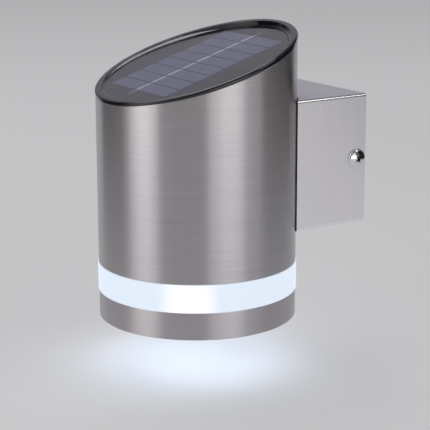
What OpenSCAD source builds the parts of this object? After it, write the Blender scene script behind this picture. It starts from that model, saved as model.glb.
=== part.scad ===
// Solar wall light: a slanted steel tube with a solar panel on top, a lit band near the bottom
// and a square bracket box that hangs it on a wall.
// Millimetres. The origin is the middle of the wall plate's back face: +Y points into the wall,
// +Z up, and the lamp stands off towards -Y.

/* [Body tube] */
// Outer diameter of the steel tube
body_d = 90; // [86:0.5:96]
// Wall of the steel tube
body_wall = 1; // [0.8:0.1:1.4]
// Distance from the wall to the tube's axis
axis_to_wall = 73.6; // [70:0.1:90]
// Height of the slanted edge at the axis, above the bracket's middle
body_rise = 46; // [44:0.5:60]
// Depth of the tube's lower edge, below the bracket's middle
body_drop = 43.7; // [42:0.1:55]
// Slant of the top edge in degrees
top_slant = 17.2; // [10:0.1:20]

/* [Head] */
// Mean height of the trim ring above its seal
bezel_h = 1.7; // [1.4:0.1:3]
// Share of that height that the ring gains at the wall side and loses at the low side
bezel_lean = 0.43; // [0:0.01:0.5]
// Width of the trim ring, seen from above
bezel_w = 3.2; // [3.2:0.1:5]
// Overhang of the trim ring beyond the tube
bezel_lip = 0.2; // [0.2:0.1:1.2]
// Width of the trim ring's rounded outer edge
bezel_edge_w = 1.3; // [0.6:0.1:1.8]
// Thickness of the seal under the trim ring
seal_t = 0.4; // [0.3:0.1:0.8]
// Wall of the panel tray
tray_wall = 1.6; // [1.2:0.1:2.2]
// Thickness of the panel tray's floor
tray_floor = 2; // [1.5:0.1:3]
// Depth of the panel tray's skirt below the slanted edge
tray_skirt = 9; // [7.5:0.5:12]
// Width of the ledge that the clear window sits on
window_ledge = 1.2; // [0.8:0.1:2]
// Thickness of the clear window
window_t = 1; // [0.8:0.1:2]
// Height of the window's top above the slanted edge
window_lift = 0.8; // [0:0.1:1.2]

/* [Solar panel] */
// Number of cell rows
cell_rows = 8; // [6:1:8]
// Distance from one row to the next, along the slope
row_pitch = 8.13; // [7:0.01:8.2]
// Gap between two rows
row_gap = 0.7; // [0.4:0.1:1.5]
// Width of the cell rows
cells_w = 46; // [36:0.5:46.5]
// Thickness of a cell
cell_t = 0.3; // [0.2:0.1:0.5]
// Shift of the cells up the slope from the panel's middle
cells_shift = 0.6; // [0:0.1:1]
// Width of the silver line down the middle
busbar_w = 1.2; // [0.8:0.1:2]
// Thickness of the silver line on the cells
busbar_t = 0.15; // [0.1:0.05:0.3]
// Length of the silver line past the cells at each end
busbar_tail = 4.8; // [2:0.2:5]
// Thickness of the board under the cells
panel_board_t = 1.5; // [1:0.1:2]

/* [Lens cup] */
// Height of the lit band
band_h = 12.5; // [10:0.5:16]
// How far the band stands proud of the tube
band_proud = 0.35; // [0.2:0.05:0.8]
// Wall of the cup
cup_wall = 2.4; // [2:0.1:3]
// Thickness of the cup's floor
cup_floor = 2.5; // [2:0.1:3.5]
// Height of the spigot that plugs into the tube
spigot_h = 4; // [3.5:0.1:6]
// Height of the ring seal on the spigot
cup_seal_h = 1.4; // [1:0.1:2]
// Depth of the ring seal's groove
cup_seal_depth = 0.8; // [0.5:0.1:1.2]

/* [Base ring] */
// Height of the steel base ring
base_h = 12.4; // [11:0.5:18]
// Wall of the base ring
base_wall = 1; // [0.8:0.1:1.4]
// Thickness of the lip that the cup stands on
base_lip_t = 1; // [0.8:0.1:1.5]
// Width of that lip
base_lip_w = 2.5; // [1.5:0.1:3]

/* [Tie screws] */
// Thread diameter of the tie screws
tie_d = 4; // [3.5:0.1:4.2]
// Gap between the cup's wall and a screw pillar
tie_inset = 2.4; // [1.5:0.1:3.5]
// Outer diameter of the cup's screw pillars
pillar_d = 10; // [9.5:0.1:11]
// Outer diameter of the tray's screw bosses
boss_d = 8; // [7:0.1:10]
// Thread length in the tray's bosses
tie_grip = 9; // [6:0.5:12]
// Diameter of the tie screws' heads
tie_head_d = 7; // [6.4:0.1:7.2]
// Height of the tie screws' heads
tie_head_h = 3; // [2.4:0.1:3.5]
// Depth of the hole that hides each head
head_pocket = 5.5; // [4:0.1:7]
// Wall of the spacer tubes round the tie screws
spacer_wall = 1.2; // [0.8:0.1:1.5]

/* [Chassis and light] */
// Thickness of the chassis plate
chassis_t = 2.5; // [2:0.1:3.5]
// Thickness of the circuit boards
board_t = 1.6; // [1:0.1:2]
// Thickness of the white reflector sheet
reflector_t = 0.8; // [0.8:0.1:1.2]
// Number of light chips
led_count = 12; // [6:2:12]
// Distance of the light chips inside the screw pillars
led_inset = 5; // [3:0.5:7]
// Length of a light chip
led_l = 3.5; // [2.8:0.1:4]
// Width of a light chip
led_w = 2.8; // [2:0.1:3]

/* [Battery] */
// Diameter of the cell
cell_d = 14.2; // [13.5:0.1:14.5]
// Length of the cell with its button
cell_l = 50; // [44:0.5:50.5]
// Length of the contact spring
spring_l = 4.5; // [3.5:0.1:5.5]
// Diameter of the contact spring
spring_d = 8; // [6:0.5:9]
// Wire of the contact spring
spring_wire = 0.8; // [0.6:0.1:1]
// Turns of the contact spring
spring_turns = 3; // [2:1:4]
// Thickness of the contact plates
contact_t = 0.5; // [0.3:0.1:0.8]
// Width of the contact plates
contact_w = 10; // [8:0.5:12]
// Side wall of the battery holder
holder_wall = 1.8; // [1.4:0.1:2.5]
// Floor of the battery holder
holder_floor = 2; // [1.5:0.1:3]
// End block of the battery holder
holder_end = 6; // [5.5:0.1:7]
// Distance of the battery's axis in front of the tube's axis
holder_forward = 9; // [8.5:0.1:12]
// Thickness of the battery cover
cover_t = 1.5; // [1.2:0.1:2.5]

/* [Control board] */
// Width of the control board
control_w = 44; // [40:0.5:46]
// Depth of the control board
control_l = 24; // [22:0.5:25]
// Distance of the control board's middle behind the tube's axis
control_back = 20; // [19:0.1:20.5]
// Height of the posts under the control board
post_h = 5; // [4:0.1:8]
// Diameter of those posts
post_d = 5; // [4.4:0.1:5.5]
// Distance of a post from the control board's edges
post_inset = 3; // [2.8:0.1:3.4]

/* [Board parts] */
// Length of the driver chip
chip_l = 5; // [4:0.5:7]
// Width of the driver chip
chip_w = 4; // [3:0.5:5]
// Height of the driver chip
chip_h = 1.5; // [1:0.1:2.5]
// Diameter of the storage coil
coil_d = 8; // [6:0.5:9]
// Diameter of the storage coil's winding
coil_winding_d = 5.6; // [4:0.1:5.8]
// Height of the storage coil
coil_h = 5; // [4:0.5:8]
// Thickness of the storage coil's end discs
coil_disc_t = 1; // [0.6:0.1:1.5]
// Diameter of the capacitor
capacitor_d = 6.4; // [5:0.1:8]
// Height of the capacitor
capacitor_h = 8; // [6:0.5:11]
// Width of a wire socket
socket_w = 6; // [5:0.1:7]
// Length of a wire socket
socket_l = 4; // [3.5:0.1:4.5]
// Height of a wire socket
socket_h = 4; // [3:0.5:6]
// How far the coil, chip and capacitor stand behind the board's middle
parts_back = 4; // [3.5:0.1:5]

/* [Leads] */
// Diameter of a lead
lead_d = 1.2; // [0.8:0.1:1.4]
// Distance between the two leads of a pair
lead_pitch = 2.6; // [2.2:0.1:3]
// Radius of the holes that a pair of leads goes through
lead_hole_r = 3; // [2.8:0.1:3.2]
// Straight run of a lead where it leaves the panel
lead_run = 10; // [8:0.5:12]
// Height of the battery leads' arch over their socket
lead_arch = 11; // [9:0.5:13]

/* [Switch] */
// Distance of the switch behind the tube's axis
switch_back = 24; // [22:0.5:26]
// Travel of the switch knob
switch_travel = 3; // [2:0.1:3.4]
// Length of the knob along its travel
knob_l = 4; // [3:0.1:4.2]
// Width of the knob
knob_w = 3.8; // [3:0.1:4.2]
// Length of the knob's foot inside the switch
foot_l = 6; // [5.4:0.1:6.4]
// Width of the knob's foot
foot_w = 5.2; // [4.8:0.1:5.3]
// Height of the knob's foot
foot_h = 1.5; // [1:0.1:2]
// Length of the switch body
switch_l = 13; // [12.8:0.1:14]
// Width of the switch body
switch_w = 7.4; // [7.2:0.1:8]
// Height of the switch body
switch_h = 5.5; // [5:0.1:7]
// Wall of the switch shroud
shroud_wall = 1.5; // [1.2:0.1:2]
// Floor of the switch shroud, above the cup's underside
shroud_floor = 1.2; // [1:0.1:2]
// Thickness of the shroud's flange
shroud_flange_t = 0.8; // [0.5:0.1:0.9]
// Width of the shroud's flange
shroud_flange_w = 2; // [1:0.1:3]

/* [Bracket] */
// Width of the bracket box
bracket_w = 60; // [54:0.5:64]
// Height of the bracket box
bracket_h = 60; // [54:0.5:70]
// Sheet thickness of the bracket box
bracket_wall = 1.2; // [0.8:0.1:1.6]
// Outer radius of the box's folded edges
bracket_edge_r = 1.4; // [0.5:0.1:3]
// Thickness of the gasket between box and tube
gasket_t = 0.6; // [0.4:0.1:1]
// How far the gasket stays inside the box's outline
gasket_inset = 0.3; // [0.1:0.1:0.8]
// Thickness of the curved saddle plate
saddle_t = 1.5; // [1:0.1:2.5]
// Distance between the two saddle bolts
saddle_pitch = 34; // [28:0.5:38]
// Gap between the box's rear rim and the wall
wall_gap = 0.5; // [0.2:0.1:1]

/* [Wall plate] */
// Thickness of the wall plate
plate_t = 1.5; // [1:0.1:1.8]
// Length of its side flanges, from the wall
flange_l = 14; // [10:0.5:18]
// Height of its side flanges
flange_h = 36; // [20:0.5:48]
// Distance between the two wall-screw holes
wall_hole_pitch = 30; // [24:0.5:40]
// Diameter of the wall-screw holes
wall_hole_d = 5; // [4:0.1:6]
// Gap between the wall plate and the box
plate_gap = 0.3; // [0.2:0.05:0.5]
// Turn of the side screws' cross recess in degrees
side_screw_turn = 30; // [0:5:90]
// Distance of the side screws from the wall
side_screw_out = 6; // [5.4:0.1:9]

/* [Hidden] */
$fn = 96;

// Clearances
seat_gap = 0.02;        // round faces that seat on each other
fit_gap = 0.2;          // pieces that slot into each other
run_gap = 0.3;          // the moving knob
hole_gap = 0.25;        // screws in through holes

// Metric M4 hardware of the bracket, and the small screws
m4_d = 4;
m4_nut_af = 7;
m4_nut_h = 3.2;
m4_head_d = 7.6;
m4_head_h = 2.6;
m4_tip = 1.5;           // thread past the nut
collar_d = 9.6;         // side screw: collar under the head
collar_h = 0.8;
dome_d = 7.6;
dome_h = 2;
recess_span = 4;        // cross recess of every screw
recess_slot = 0.9;
recess_depth = 1.4;
cover_screw_d = 2.5;
cover_head_d = 4.6;
cover_head_h = 1.6;
cover_screw_bite = 2;   // thread in the chassis
slot_cut_w = 0.6;       // plain slot of the small screws
board_screw_d = 2;
board_head_d = 3.8;
board_head_h = 1.4;
board_screw_l = 5.5;

// Tube and head
body_r = body_d / 2;
bore_r = body_r - body_wall;
slope = tan(top_slant);
reach = 2 * body_d;                     // longer than anything here
bezel_out_r = body_r + bezel_lip;
bezel_in_r = bezel_out_r - bezel_w;
bezel_edge_h = 0.65 * bezel_h;          // rounded part of its outer side
bezel_bore_r = 0.25;                    // rounded inner edge
bezel_steps = 8;
bezel_around = 80;
tray_r = bore_r - run_gap;
window_bore_r = tray_r - tray_wall;
board_bore_r = window_bore_r - window_ledge;
busbar_top = window_lift - window_t;    // heights above the slanted edge's plane
cell_top = busbar_top - busbar_t;
cell_bottom = cell_top - cell_t;
panel_board_bottom = cell_bottom - panel_board_t;
tray_under = panel_board_bottom - tray_floor;
array_l = cell_rows * row_pitch - row_gap;

// Lens cup and base ring
band_r = body_r + band_proud;
base_bore_r = body_r - base_wall;
cup_r = base_bore_r - fit_gap;
spigot_r = bore_r - fit_gap;
cup_bore_r = min(cup_r, spigot_r) - cup_wall;
band_top_z = -body_drop;
band_bottom_z = band_top_z - band_h;
base_bottom_z = band_bottom_z - base_h;
cup_under_z = base_bottom_z + base_lip_t;
cup_floor_z = cup_under_z + cup_floor;
spigot_top_z = band_top_z + spigot_h;
cup_seal_z = band_top_z + (spigot_h - cup_seal_h) / 2;
groove_r = spigot_r - cup_seal_depth;

// Tie screws, from the cup's pillars to the tray's bosses
tie_angles = [30, 150, 270];
tie_circle_r = cup_bore_r - tie_inset - pillar_d / 2;
head_seat_z = cup_under_z + head_pocket;
tie_hole_r = tie_d / 2 + hole_gap;
pillar_gap = 0.3;
boss_low_z = body_rise - (tie_circle_r + boss_d / 2) * slope + tray_under;
tie_bore_top_z = boss_low_z - 1;
tie_tip_z = tie_bore_top_z - 1;
boss_z = tie_tip_z - tie_grip;

// Chassis, light board and reflector
led_circle_r = tie_circle_r - pillar_d / 2 - led_inset;
chassis_z = spigot_top_z;
chassis_top_z = chassis_z + chassis_t;
chassis_r = bore_r - run_gap;
led_board_r = cup_bore_r - run_gap;
led_board_z = chassis_z - board_t;
reflector_z = led_board_z - reflector_t;

// Battery holder
cell_r = cell_d / 2;
trough_r = cell_r + fit_gap;
holder_y = -holder_forward;
cavity_l = cell_l + spring_l + 2 * contact_t;
cavity_x = cavity_l / 2;
holder_half_l = cavity_x + holder_end;
holder_half_w = trough_r + holder_wall;
holder_h = holder_floor + 2 * trough_r;
cell_z = chassis_top_z + holder_floor + trough_r;
cell_button_d = 5.5;
cell_button_l = 1;
cover_z = chassis_top_z + holder_h;
cover_screw_x = cavity_x + holder_end / 2;
battery_lead_hole_r = lead_d / 2 + hole_gap + 0.25;
lead_web = 0.6;          // wall between a battery lead's hole and a cover screw's
battery_lead_y = holder_y + cover_screw_d / 2 + hole_gap + lead_web + battery_lead_hole_r;

// Where the light's and the switch's leads pass the chassis
led_lead_y = (control_back + holder_y + holder_half_w) / 2 + lead_hole_r;
switch_lead_y = switch_back - lead_pitch;

// Control board
control_z = chassis_top_z + post_h;
control_top_z = control_z + board_t;
socket_gap = 0.1;        // between a socket and the screw head beside it
socket_x = control_w / 2 - post_inset - board_head_d / 2 - socket_gap - socket_w / 2;
socket_y = control_back - control_l / 2 + post_inset + socket_l / 2;
socket_top_z = control_top_z + socket_h;

// Switch
switch_floor_z = cup_under_z + shroud_floor;
slot_l = knob_l + switch_travel + 2 * run_gap;
slot_w = knob_w + 2 * run_gap;
foot_room_l = foot_l + switch_travel + 2 * run_gap;
foot_room_w = foot_w + 2 * run_gap;
slot_lip = 0.6;                          // switch wall under the foot
foot_z = switch_floor_z + slot_lip + run_gap;
knob_tip_z = base_bottom_z + run_gap;
shroud_l = switch_l + 2 * (fit_gap + shroud_wall);
shroud_w = switch_w + 2 * (fit_gap + shroud_wall);
shroud_top_z = switch_floor_z + switch_h + 1;
switch_top_z = switch_floor_z + switch_h;

// Bracket
saddle_r = body_r + gasket_t;
saddle_back_r = saddle_r + saddle_t;
inner_half_w = bracket_w / 2 - bracket_wall;
inner_half_h = bracket_h / 2 - bracket_wall;
box_back_y = -wall_gap;
plate_half_w = inner_half_w - plate_gap;
plate_half_h = inner_half_h - plate_gap;
flange_t = plate_t;
m4_nut_r = m4_nut_af / 2 / cos(30);
saddle_nut_seat = sqrt(bore_r * bore_r - m4_nut_r * m4_nut_r);
side_nut_x = plate_half_w - flange_t;
side_screw_l = bracket_w / 2 - side_nut_x + m4_nut_h + m4_tip;

// Shared shapes

// Places its children on the tube's axis
module on_axis() {
    translate([0, -axis_to_wall, 0]) children();
}

// Everything above the slanted plane, lifted by lift
module above(lift) {
    translate([0, 0, body_rise + lift])
        rotate([top_slant, 0, 0])
            translate([-reach / 2, -reach / 2, 0])
                cube([reach, reach, reach]);
}

// Places its children on the slanted plane, lifted by lift
module on_slope(lift) {
    translate([0, 0, body_rise + lift]) rotate([top_slant, 0, 0]) children();
}

// Upright round slice of the given radius between two slanted planes
module slice(radius, low, high) {
    intersection() {
        cylinder(h = 2 * body_rise, r = radius);
        on_slope(low)
            translate([-reach / 2, -reach / 2, 0])
                cube([reach, reach, (high - low) * cos(top_slant)]);
    }
}

// Upright cylinder from one height to another
module upright(radius, low, high) {
    translate([0, 0, low]) cylinder(h = high - low, r = radius);
}

// Children at each tie screw
module at_ties() {
    for (angle = tie_angles) {
        rotate([0, 0, angle]) translate([tie_circle_r, 0, 0]) children();
    }
}

// Hole along +Y
module hole_y(radius, length) {
    rotate([-90, 0, 0]) cylinder(h = length, r = radius);
}

// Cross recess, cut downwards from z = 0
module cross_recess() {
    for (turn = [0, 90]) {
        rotate([0, 0, turn])
            translate([-recess_span / 2, -recess_slot / 2, -recess_depth])
                cube([recess_span, recess_slot, recess_depth + 1]);
    }
}

// Screw that points down from its seat at z = 0, with a cross recess in a flat head
module screw(d, length, head_d, head_h) {
    difference() {
        union() {
            translate([0, 0, -length]) cylinder(h = length, r = d / 2);
            cylinder(h = head_h, r = head_d / 2);
        }
        translate([0, 0, head_h]) cross_recess();
    }
}

// Hex nut with its lower face at z = 0
module hex_nut() {
    difference() {
        cylinder(h = m4_nut_h, r = m4_nut_r, $fn = 6);
        translate([0, 0, -1]) cylinder(h = m4_nut_h + 2, r = m4_d / 2 + seat_gap);
    }
}

// Tube swept along a route, for leads and the spring
function unit(v) = v / norm(v);
function headings(p) = [for (i = [0 : len(p) - 1]) unit(p[min(i + 1, len(p) - 1)] - p[max(i - 1, 0)])];
function carried(heads, side, i = 0) = i == len(heads) ? []
    : let (now = unit(side - (side * heads[i]) * heads[i])) concat([now], carried(heads, now, i + 1));
function first_side(v) = abs(v.z) > 0.9 ? [1, 0, 0] : [0, 0, 1];
function blend4(a, b, c, d, t) = 0.5 * ((2 * b) + (c - a) * t + (2 * a - 5 * b + 4 * c - d) * t * t
    + (3 * b - a - 3 * c + d) * t * t * t);
function smooth(p, steps) = concat([for (i = [0 : len(p) - 2]) for (k = [0 : steps - 1])
    blend4(p[max(i - 1, 0)], p[i], p[i + 1], p[min(i + 2, len(p) - 1)], k / steps)], [p[len(p) - 1]]);

module swept(route, d, sides) {
    heads = headings(route);
    first = carried(heads, first_side(heads[0]));
    points = [for (i = [0 : len(route) - 1]) for (k = [0 : sides - 1])
        route[i] + d / 2 * (cos(360 * k / sides) * first[i]
            + sin(360 * k / sides) * cross(heads[i], first[i]))];
    walls = [for (i = [0 : len(route) - 2]) for (k = [0 : sides - 1]) let (n = (k + 1) % sides)
        [i * sides + k, (i + 1) * sides + k, (i + 1) * sides + n, i * sides + n]];
    start_cap = [[for (k = [0 : sides - 1]) k]];
    end_cap = [[for (k = [sides - 1 : -1 : 0]) (len(route) - 1) * sides + k]];
    polyhedron(points, concat(walls, start_cap, end_cap), convexity = 6);
}

// Two leads side by side, a lead pitch apart along X
module lead_pair(route, colours, steps) {
    for (i = [0, 1]) {
        offset_x = (i - 0.5) * lead_pitch;
        color(colours[i]) swept([for (p = smooth(route, steps)) p + [offset_x, 0, 0]], lead_d, 8);
    }
}

// Head

module body_tube() {
    color("#a7a4a9") on_axis() difference() {
        upright(body_r, band_top_z, 2 * body_rise);
        upright(bore_r, band_top_z - 1, 2 * body_rise + 1);
        above(0);
        for (side = [-1, 1]) {
            translate([0, 0, side * saddle_pitch / 2]) hole_y(m4_d / 2 + hole_gap, body_r + 1);
        }
    }
}

module rim_seal() {
    color("#141414") on_axis() difference() {
        slice(body_r, 0, seal_t);
        cylinder(h = 2 * body_rise, r = bore_r);
    }
}

// Trim ring: a flat land with a rounded outer edge, which follows the tube's oval edge and grows
// taller towards the wall
module top_bezel() {
    edge_r = bezel_out_r - bezel_edge_w;
    bore_edge_r = bezel_in_r + bezel_bore_r;
    profile = concat([[bezel_in_r, 0], [bezel_out_r, 0]],
        [for (i = [0 : bezel_steps]) let (a = 90 * i / bezel_steps)
            [edge_r + bezel_edge_w * cos(a), bezel_h - bezel_edge_h * (1 - sin(a))]],
        [for (i = [0 : 3]) let (a = 90 + 30 * i)
            [bore_edge_r + bezel_bore_r * cos(a), bezel_h - bezel_bore_r * (1 - sin(a))]]);
    count = len(profile);
    points = [for (k = [0 : bezel_around - 1]) let (a = 360 * k / bezel_around) for (p = profile)
        [p[0] * cos(a), p[0] * sin(a),
            body_rise + seal_t + p[1] * (1 + bezel_lean * sin(a)) + slope * p[0] * sin(a)]];
    faces = [for (k = [0 : bezel_around - 1]) let (next = (k + 1) % bezel_around)
        for (j = [0 : count - 1]) let (up = (j + 1) % count)
            [k * count + j, k * count + up, next * count + up, next * count + j]];
    color("#0d0d0f") on_axis() polyhedron(points, faces, convexity = 6);
}

module panel_tray() {
    color("#19191b") on_axis() difference() {
        union() {
            difference() {
                slice(tray_r, -tray_skirt, seal_t);
                slice(window_bore_r, busbar_top, seal_t + 1);
                slice(board_bore_r, panel_board_bottom, busbar_top + 1);
                slice(board_bore_r, -tray_skirt - 1, tray_under);
            }
            difference() {
                at_ties() upright(boss_d / 2, boss_z, 2 * body_rise);
                above(tray_under + tray_floor / 2);
            }
        }
        at_ties() upright(tie_d / 2 + seat_gap, boss_z - 1, tie_bore_top_z);
        translate([0, control_back, 0]) upright(lead_hole_r, boss_z, 2 * body_rise);
    }
}

module panel_board() {
    color("#5c5650") on_axis() slice(board_bore_r - fit_gap, panel_board_bottom, cell_bottom);
}

module solar_cells() {
    color("#5b6a8c") on_axis() on_slope(cell_bottom) {
        for (row = [0 : cell_rows - 1]) {
            translate([-cells_w / 2, cells_shift - array_l / 2 + row * row_pitch, 0])
                cube([cells_w, row_pitch - row_gap, cell_t * cos(top_slant)]);
        }
    }
}

module cell_busbar() {
    top_l = array_l + 2 * busbar_tail;
    color("#c9ccd2") on_axis() on_slope(cell_bottom) translate([-busbar_w / 2, cells_shift, 0]) {
        translate([0, -top_l / 2, cell_t * cos(top_slant)])
            cube([busbar_w, top_l, busbar_t * cos(top_slant)]);
        for (side = [-1, 1]) {
            translate([0, side * (top_l - busbar_tail) / 2 - busbar_tail / 2 + side * fit_gap / 2, 0])
                cube([busbar_w, busbar_tail - fit_gap, (cell_t + busbar_t) * cos(top_slant)]);
        }
    }
}

module panel_window() {
    color("#cfd8e4", 0.4) on_axis() slice(window_bore_r - fit_gap, busbar_top, window_lift);
}

// Lens cup and base

module lens_cup() {
    color("#eef4fb") on_axis() difference() {
        union() {
            difference() {
                union() {
                    upright(cup_r, cup_under_z, band_bottom_z);
                    upright(band_r, band_bottom_z, band_top_z);
                    upright(spigot_r, band_top_z, spigot_top_z);
                }
                upright(cup_bore_r, cup_floor_z, spigot_top_z + 1);
                difference() {
                    upright(body_r, cup_seal_z, cup_seal_z + cup_seal_h);
                    upright(groove_r, cup_seal_z - 1, cup_seal_z + cup_seal_h + 1);
                }
            }
            at_ties() upright(pillar_d / 2, cup_under_z, spigot_top_z);
        }
        at_ties() {
            upright(tie_hole_r, cup_under_z - 1, spigot_top_z + 1);
            upright(tie_head_d / 2 + fit_gap, cup_under_z - 1, head_seat_z);
        }
        translate([-shroud_l / 2 - fit_gap, switch_back - shroud_w / 2 - fit_gap, cup_under_z - 1])
            cube([shroud_l + 2 * fit_gap, shroud_w + 2 * fit_gap, cup_floor + 2]);
    }
}

module cup_seal() {
    color("#1c1c1c") on_axis() difference() {
        upright(bore_r - seat_gap, cup_seal_z, cup_seal_z + cup_seal_h);
        upright(groove_r + seat_gap, cup_seal_z - 1, cup_seal_z + cup_seal_h + 1);
    }
}

module base_ring() {
    color("#a7a4a9") on_axis() difference() {
        upright(body_r, base_bottom_z, band_bottom_z);
        upright(base_bore_r, cup_under_z, band_bottom_z + 1);
        upright(base_bore_r - base_lip_w, base_bottom_z - 1, cup_under_z + 1);
    }
}

module tie_screws() {
    color("#b9bcc0") on_axis() at_ties() translate([0, 0, head_seat_z]) mirror([0, 0, 1])
        screw(tie_d, tie_tip_z - head_seat_z, tie_head_d, tie_head_h);
}

module spacer_tubes() {
    color("#b4b8bd") on_axis() at_ties() difference() {
        upright(tie_hole_r + spacer_wall, chassis_top_z, boss_z);
        upright(tie_hole_r, chassis_top_z - 1, boss_z + 1);
    }
}

// Chassis and light

module chassis() {
    color("#2a2c2f") on_axis() difference() {
        union() {
            upright(chassis_r, chassis_z, chassis_top_z);
            at_posts() upright(post_d / 2, chassis_top_z - 1, control_z);
        }
        at_posts() upright(board_screw_d / 2 + seat_gap, control_z - board_screw_l, control_z + 1);
        at_ties() upright(tie_hole_r, chassis_z - 1, chassis_top_z + 1);
        at_cover_screws()
            upright(cover_screw_d / 2 + seat_gap, chassis_top_z - cover_screw_bite, chassis_top_z + 1);
        lead_holes(chassis_z, chassis_top_z);
    }
}

// Children at each post of the control board
module at_posts() {
    for (x = [-1, 1]) {
        for (y = [-1, 1]) {
            translate([x * (control_w / 2 - post_inset),
                control_back + y * (control_l / 2 - post_inset), 0]) children();
        }
    }
}

// Children at each screw of the battery cover
module at_cover_screws() {
    for (side = [-1, 1]) {
        translate([side * cover_screw_x, holder_y, 0]) children();
    }
}

// Holes that the light's and the switch's leads go through
module lead_holes(low, high) {
    for (y = [led_lead_y, switch_lead_y]) {
        translate([0, y, 0]) upright(lead_hole_r, low - 1, high + 1);
    }
}

module led_board() {
    color("#e8ece8") on_axis() difference() {
        upright(led_board_r, led_board_z, chassis_z);
        at_ties() upright(pillar_d / 2 + pillar_gap, led_board_z - 1, chassis_z + 1);
        translate([0, switch_lead_y, 0]) upright(lead_hole_r, led_board_z - 1, chassis_z + 1);
    }
}

// Children at each light chip
module at_leds() {
    for (i = [0 : led_count - 1]) {
        rotate([0, 0, 360 * i / led_count]) translate([led_circle_r, 0, 0]) children();
    }
}

module led_chips() {
    color("#f4e9a8") on_axis() at_leds()
        translate([-led_w / 2, -led_l / 2, reflector_z]) cube([led_w, led_l, reflector_t]);
}

module reflector() {
    color("#f7f8f8") on_axis() difference() {
        upright(led_board_r, reflector_z, led_board_z);
        at_ties() upright(pillar_d / 2 + pillar_gap, reflector_z - 1, led_board_z + 1);
        at_leds() translate([-led_w / 2 - run_gap, -led_l / 2 - run_gap, reflector_z - 1])
            cube([led_w + 2 * run_gap, led_l + 2 * run_gap, reflector_t + 2]);
        translate([0, switch_lead_y, 0]) upright(lead_hole_r, reflector_z - 1, led_board_z + 1);
    }
}

// Battery

module battery_holder() {
    color("#26282b") on_axis() difference() {
        translate([-holder_half_l, holder_y - holder_half_w, chassis_top_z])
            cube([2 * holder_half_l, 2 * holder_half_w, holder_h]);
        translate([-cavity_x, holder_y, cell_z]) rotate([0, 90, 0]) cylinder(h = cavity_l, r = trough_r);
        translate([-cavity_x, holder_y - trough_r, cell_z])
            cube([cavity_l, 2 * trough_r, holder_h]);
        translate([-holder_half_l - 1, battery_lead_y, cell_z]) rotate([0, 90, 0])
            cylinder(h = 2 * holder_half_l + 2, r = battery_lead_hole_r);
        at_cover_screws()
            upright(cover_screw_d / 2 + hole_gap, chassis_top_z - 1, cover_z + 1);
    }
}

module battery_cell() {
    can_l = cell_l - cell_button_l;
    color("#3f7f58") on_axis() translate([cavity_x - contact_t, holder_y, cell_z]) rotate([0, -90, 0]) {
        cylinder(h = cell_button_l + 1, r = cell_button_d / 2);
        translate([0, 0, cell_button_l]) cylinder(h = can_l, r = cell_r);
    }
}

// Contact spring: its turns from a helix, on the plate that it is welded to
module battery_spring() {
    from_x = -cavity_x + contact_t + spring_wire / 2 - 0.1;
    to_x = -cavity_x + contact_t + spring_l - spring_wire / 2 - seat_gap;
    coil_r = (spring_d - spring_wire) / 2;
    steps = 14;
    turns = spring_turns;
    color("#c4c7cb") on_axis() {
        translate([-cavity_x, holder_y - contact_w / 2, cell_z - contact_w / 2])
            cube([contact_t, contact_w, contact_w]);
        swept([for (i = [0 : steps * turns]) let (a = 360 * i / steps)
            [from_x + (to_x - from_x) * i / (steps * turns),
                holder_y + coil_r * cos(a), cell_z + coil_r * sin(a)]], spring_wire, 6);
    }
}

module battery_contact() {
    color("#c4c7cb") on_axis()
        translate([cavity_x - contact_t, holder_y - contact_w / 2, cell_z - contact_w / 2])
            cube([contact_t, contact_w, contact_w]);
}

module battery_cover() {
    color("#2f3235") on_axis() difference() {
        translate([-holder_half_l, holder_y - holder_half_w, cover_z])
            cube([2 * holder_half_l, 2 * holder_half_w, cover_t]);
        at_cover_screws() upright(cover_screw_d / 2 + hole_gap, cover_z - 1, cover_z + cover_t + 1);
    }
}

module cover_screws() {
    grip = cover_t + holder_h + cover_screw_bite;
    color("#b9bcc0") on_axis() at_cover_screws()
        translate([0, 0, cover_z + cover_t]) small_screw(cover_screw_d, grip, cover_head_d, cover_head_h);
}

// Small screw with a plain slot
module small_screw(d, length, head_d, head_h) {
    difference() {
        union() {
            translate([0, 0, -length]) cylinder(h = length, r = d / 2);
            cylinder(h = head_h, r = head_d / 2);
        }
        translate([-head_d, -slot_cut_w / 2, head_h / 2]) cube([2 * head_d, slot_cut_w, head_h]);
    }
}

// Control board

module control_board() {
    color("#1f6b45") on_axis() difference() {
        translate([-control_w / 2, control_back - control_l / 2, control_z])
            cube([control_w, control_l, board_t]);
        at_posts() upright(board_screw_d / 2 + hole_gap, control_z - 1, control_top_z + 1);
    }
}

module board_screws() {
    color("#b9bcc0") on_axis() at_posts()
        translate([0, 0, control_top_z])
            small_screw(board_screw_d, board_t + board_screw_l - 1, board_head_d, board_head_h);
}

module driver_chip() {
    color("#17181a") on_axis()
        translate([-chip_l / 2, control_back + parts_back - chip_w / 2, control_top_z])
            cube([chip_l, chip_w, chip_h]);
}

module storage_coil() {
    color("#4b4d50") on_axis() translate([-control_w / 4, control_back + parts_back, control_top_z]) {
        cylinder(h = coil_disc_t, r = coil_d / 2);
        cylinder(h = coil_h, r = coil_winding_d / 2);
        translate([0, 0, coil_h - coil_disc_t]) cylinder(h = coil_disc_t, r = coil_d / 2);
    }
}

module capacitor() {
    color("#2c3f73") on_axis() translate([control_w / 4, control_back + parts_back, control_top_z])
        cylinder(h = capacitor_h, r = capacitor_d / 2);
}

module wire_sockets() {
    color("#e9e6dc") on_axis() for (x = [-socket_x, 0, socket_x]) {
        translate([x - socket_w / 2, socket_y - socket_l / 2, control_top_z])
            cube([socket_w, socket_l, socket_h]);
    }
}

// Switch, in a shroud in the cup's floor

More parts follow.
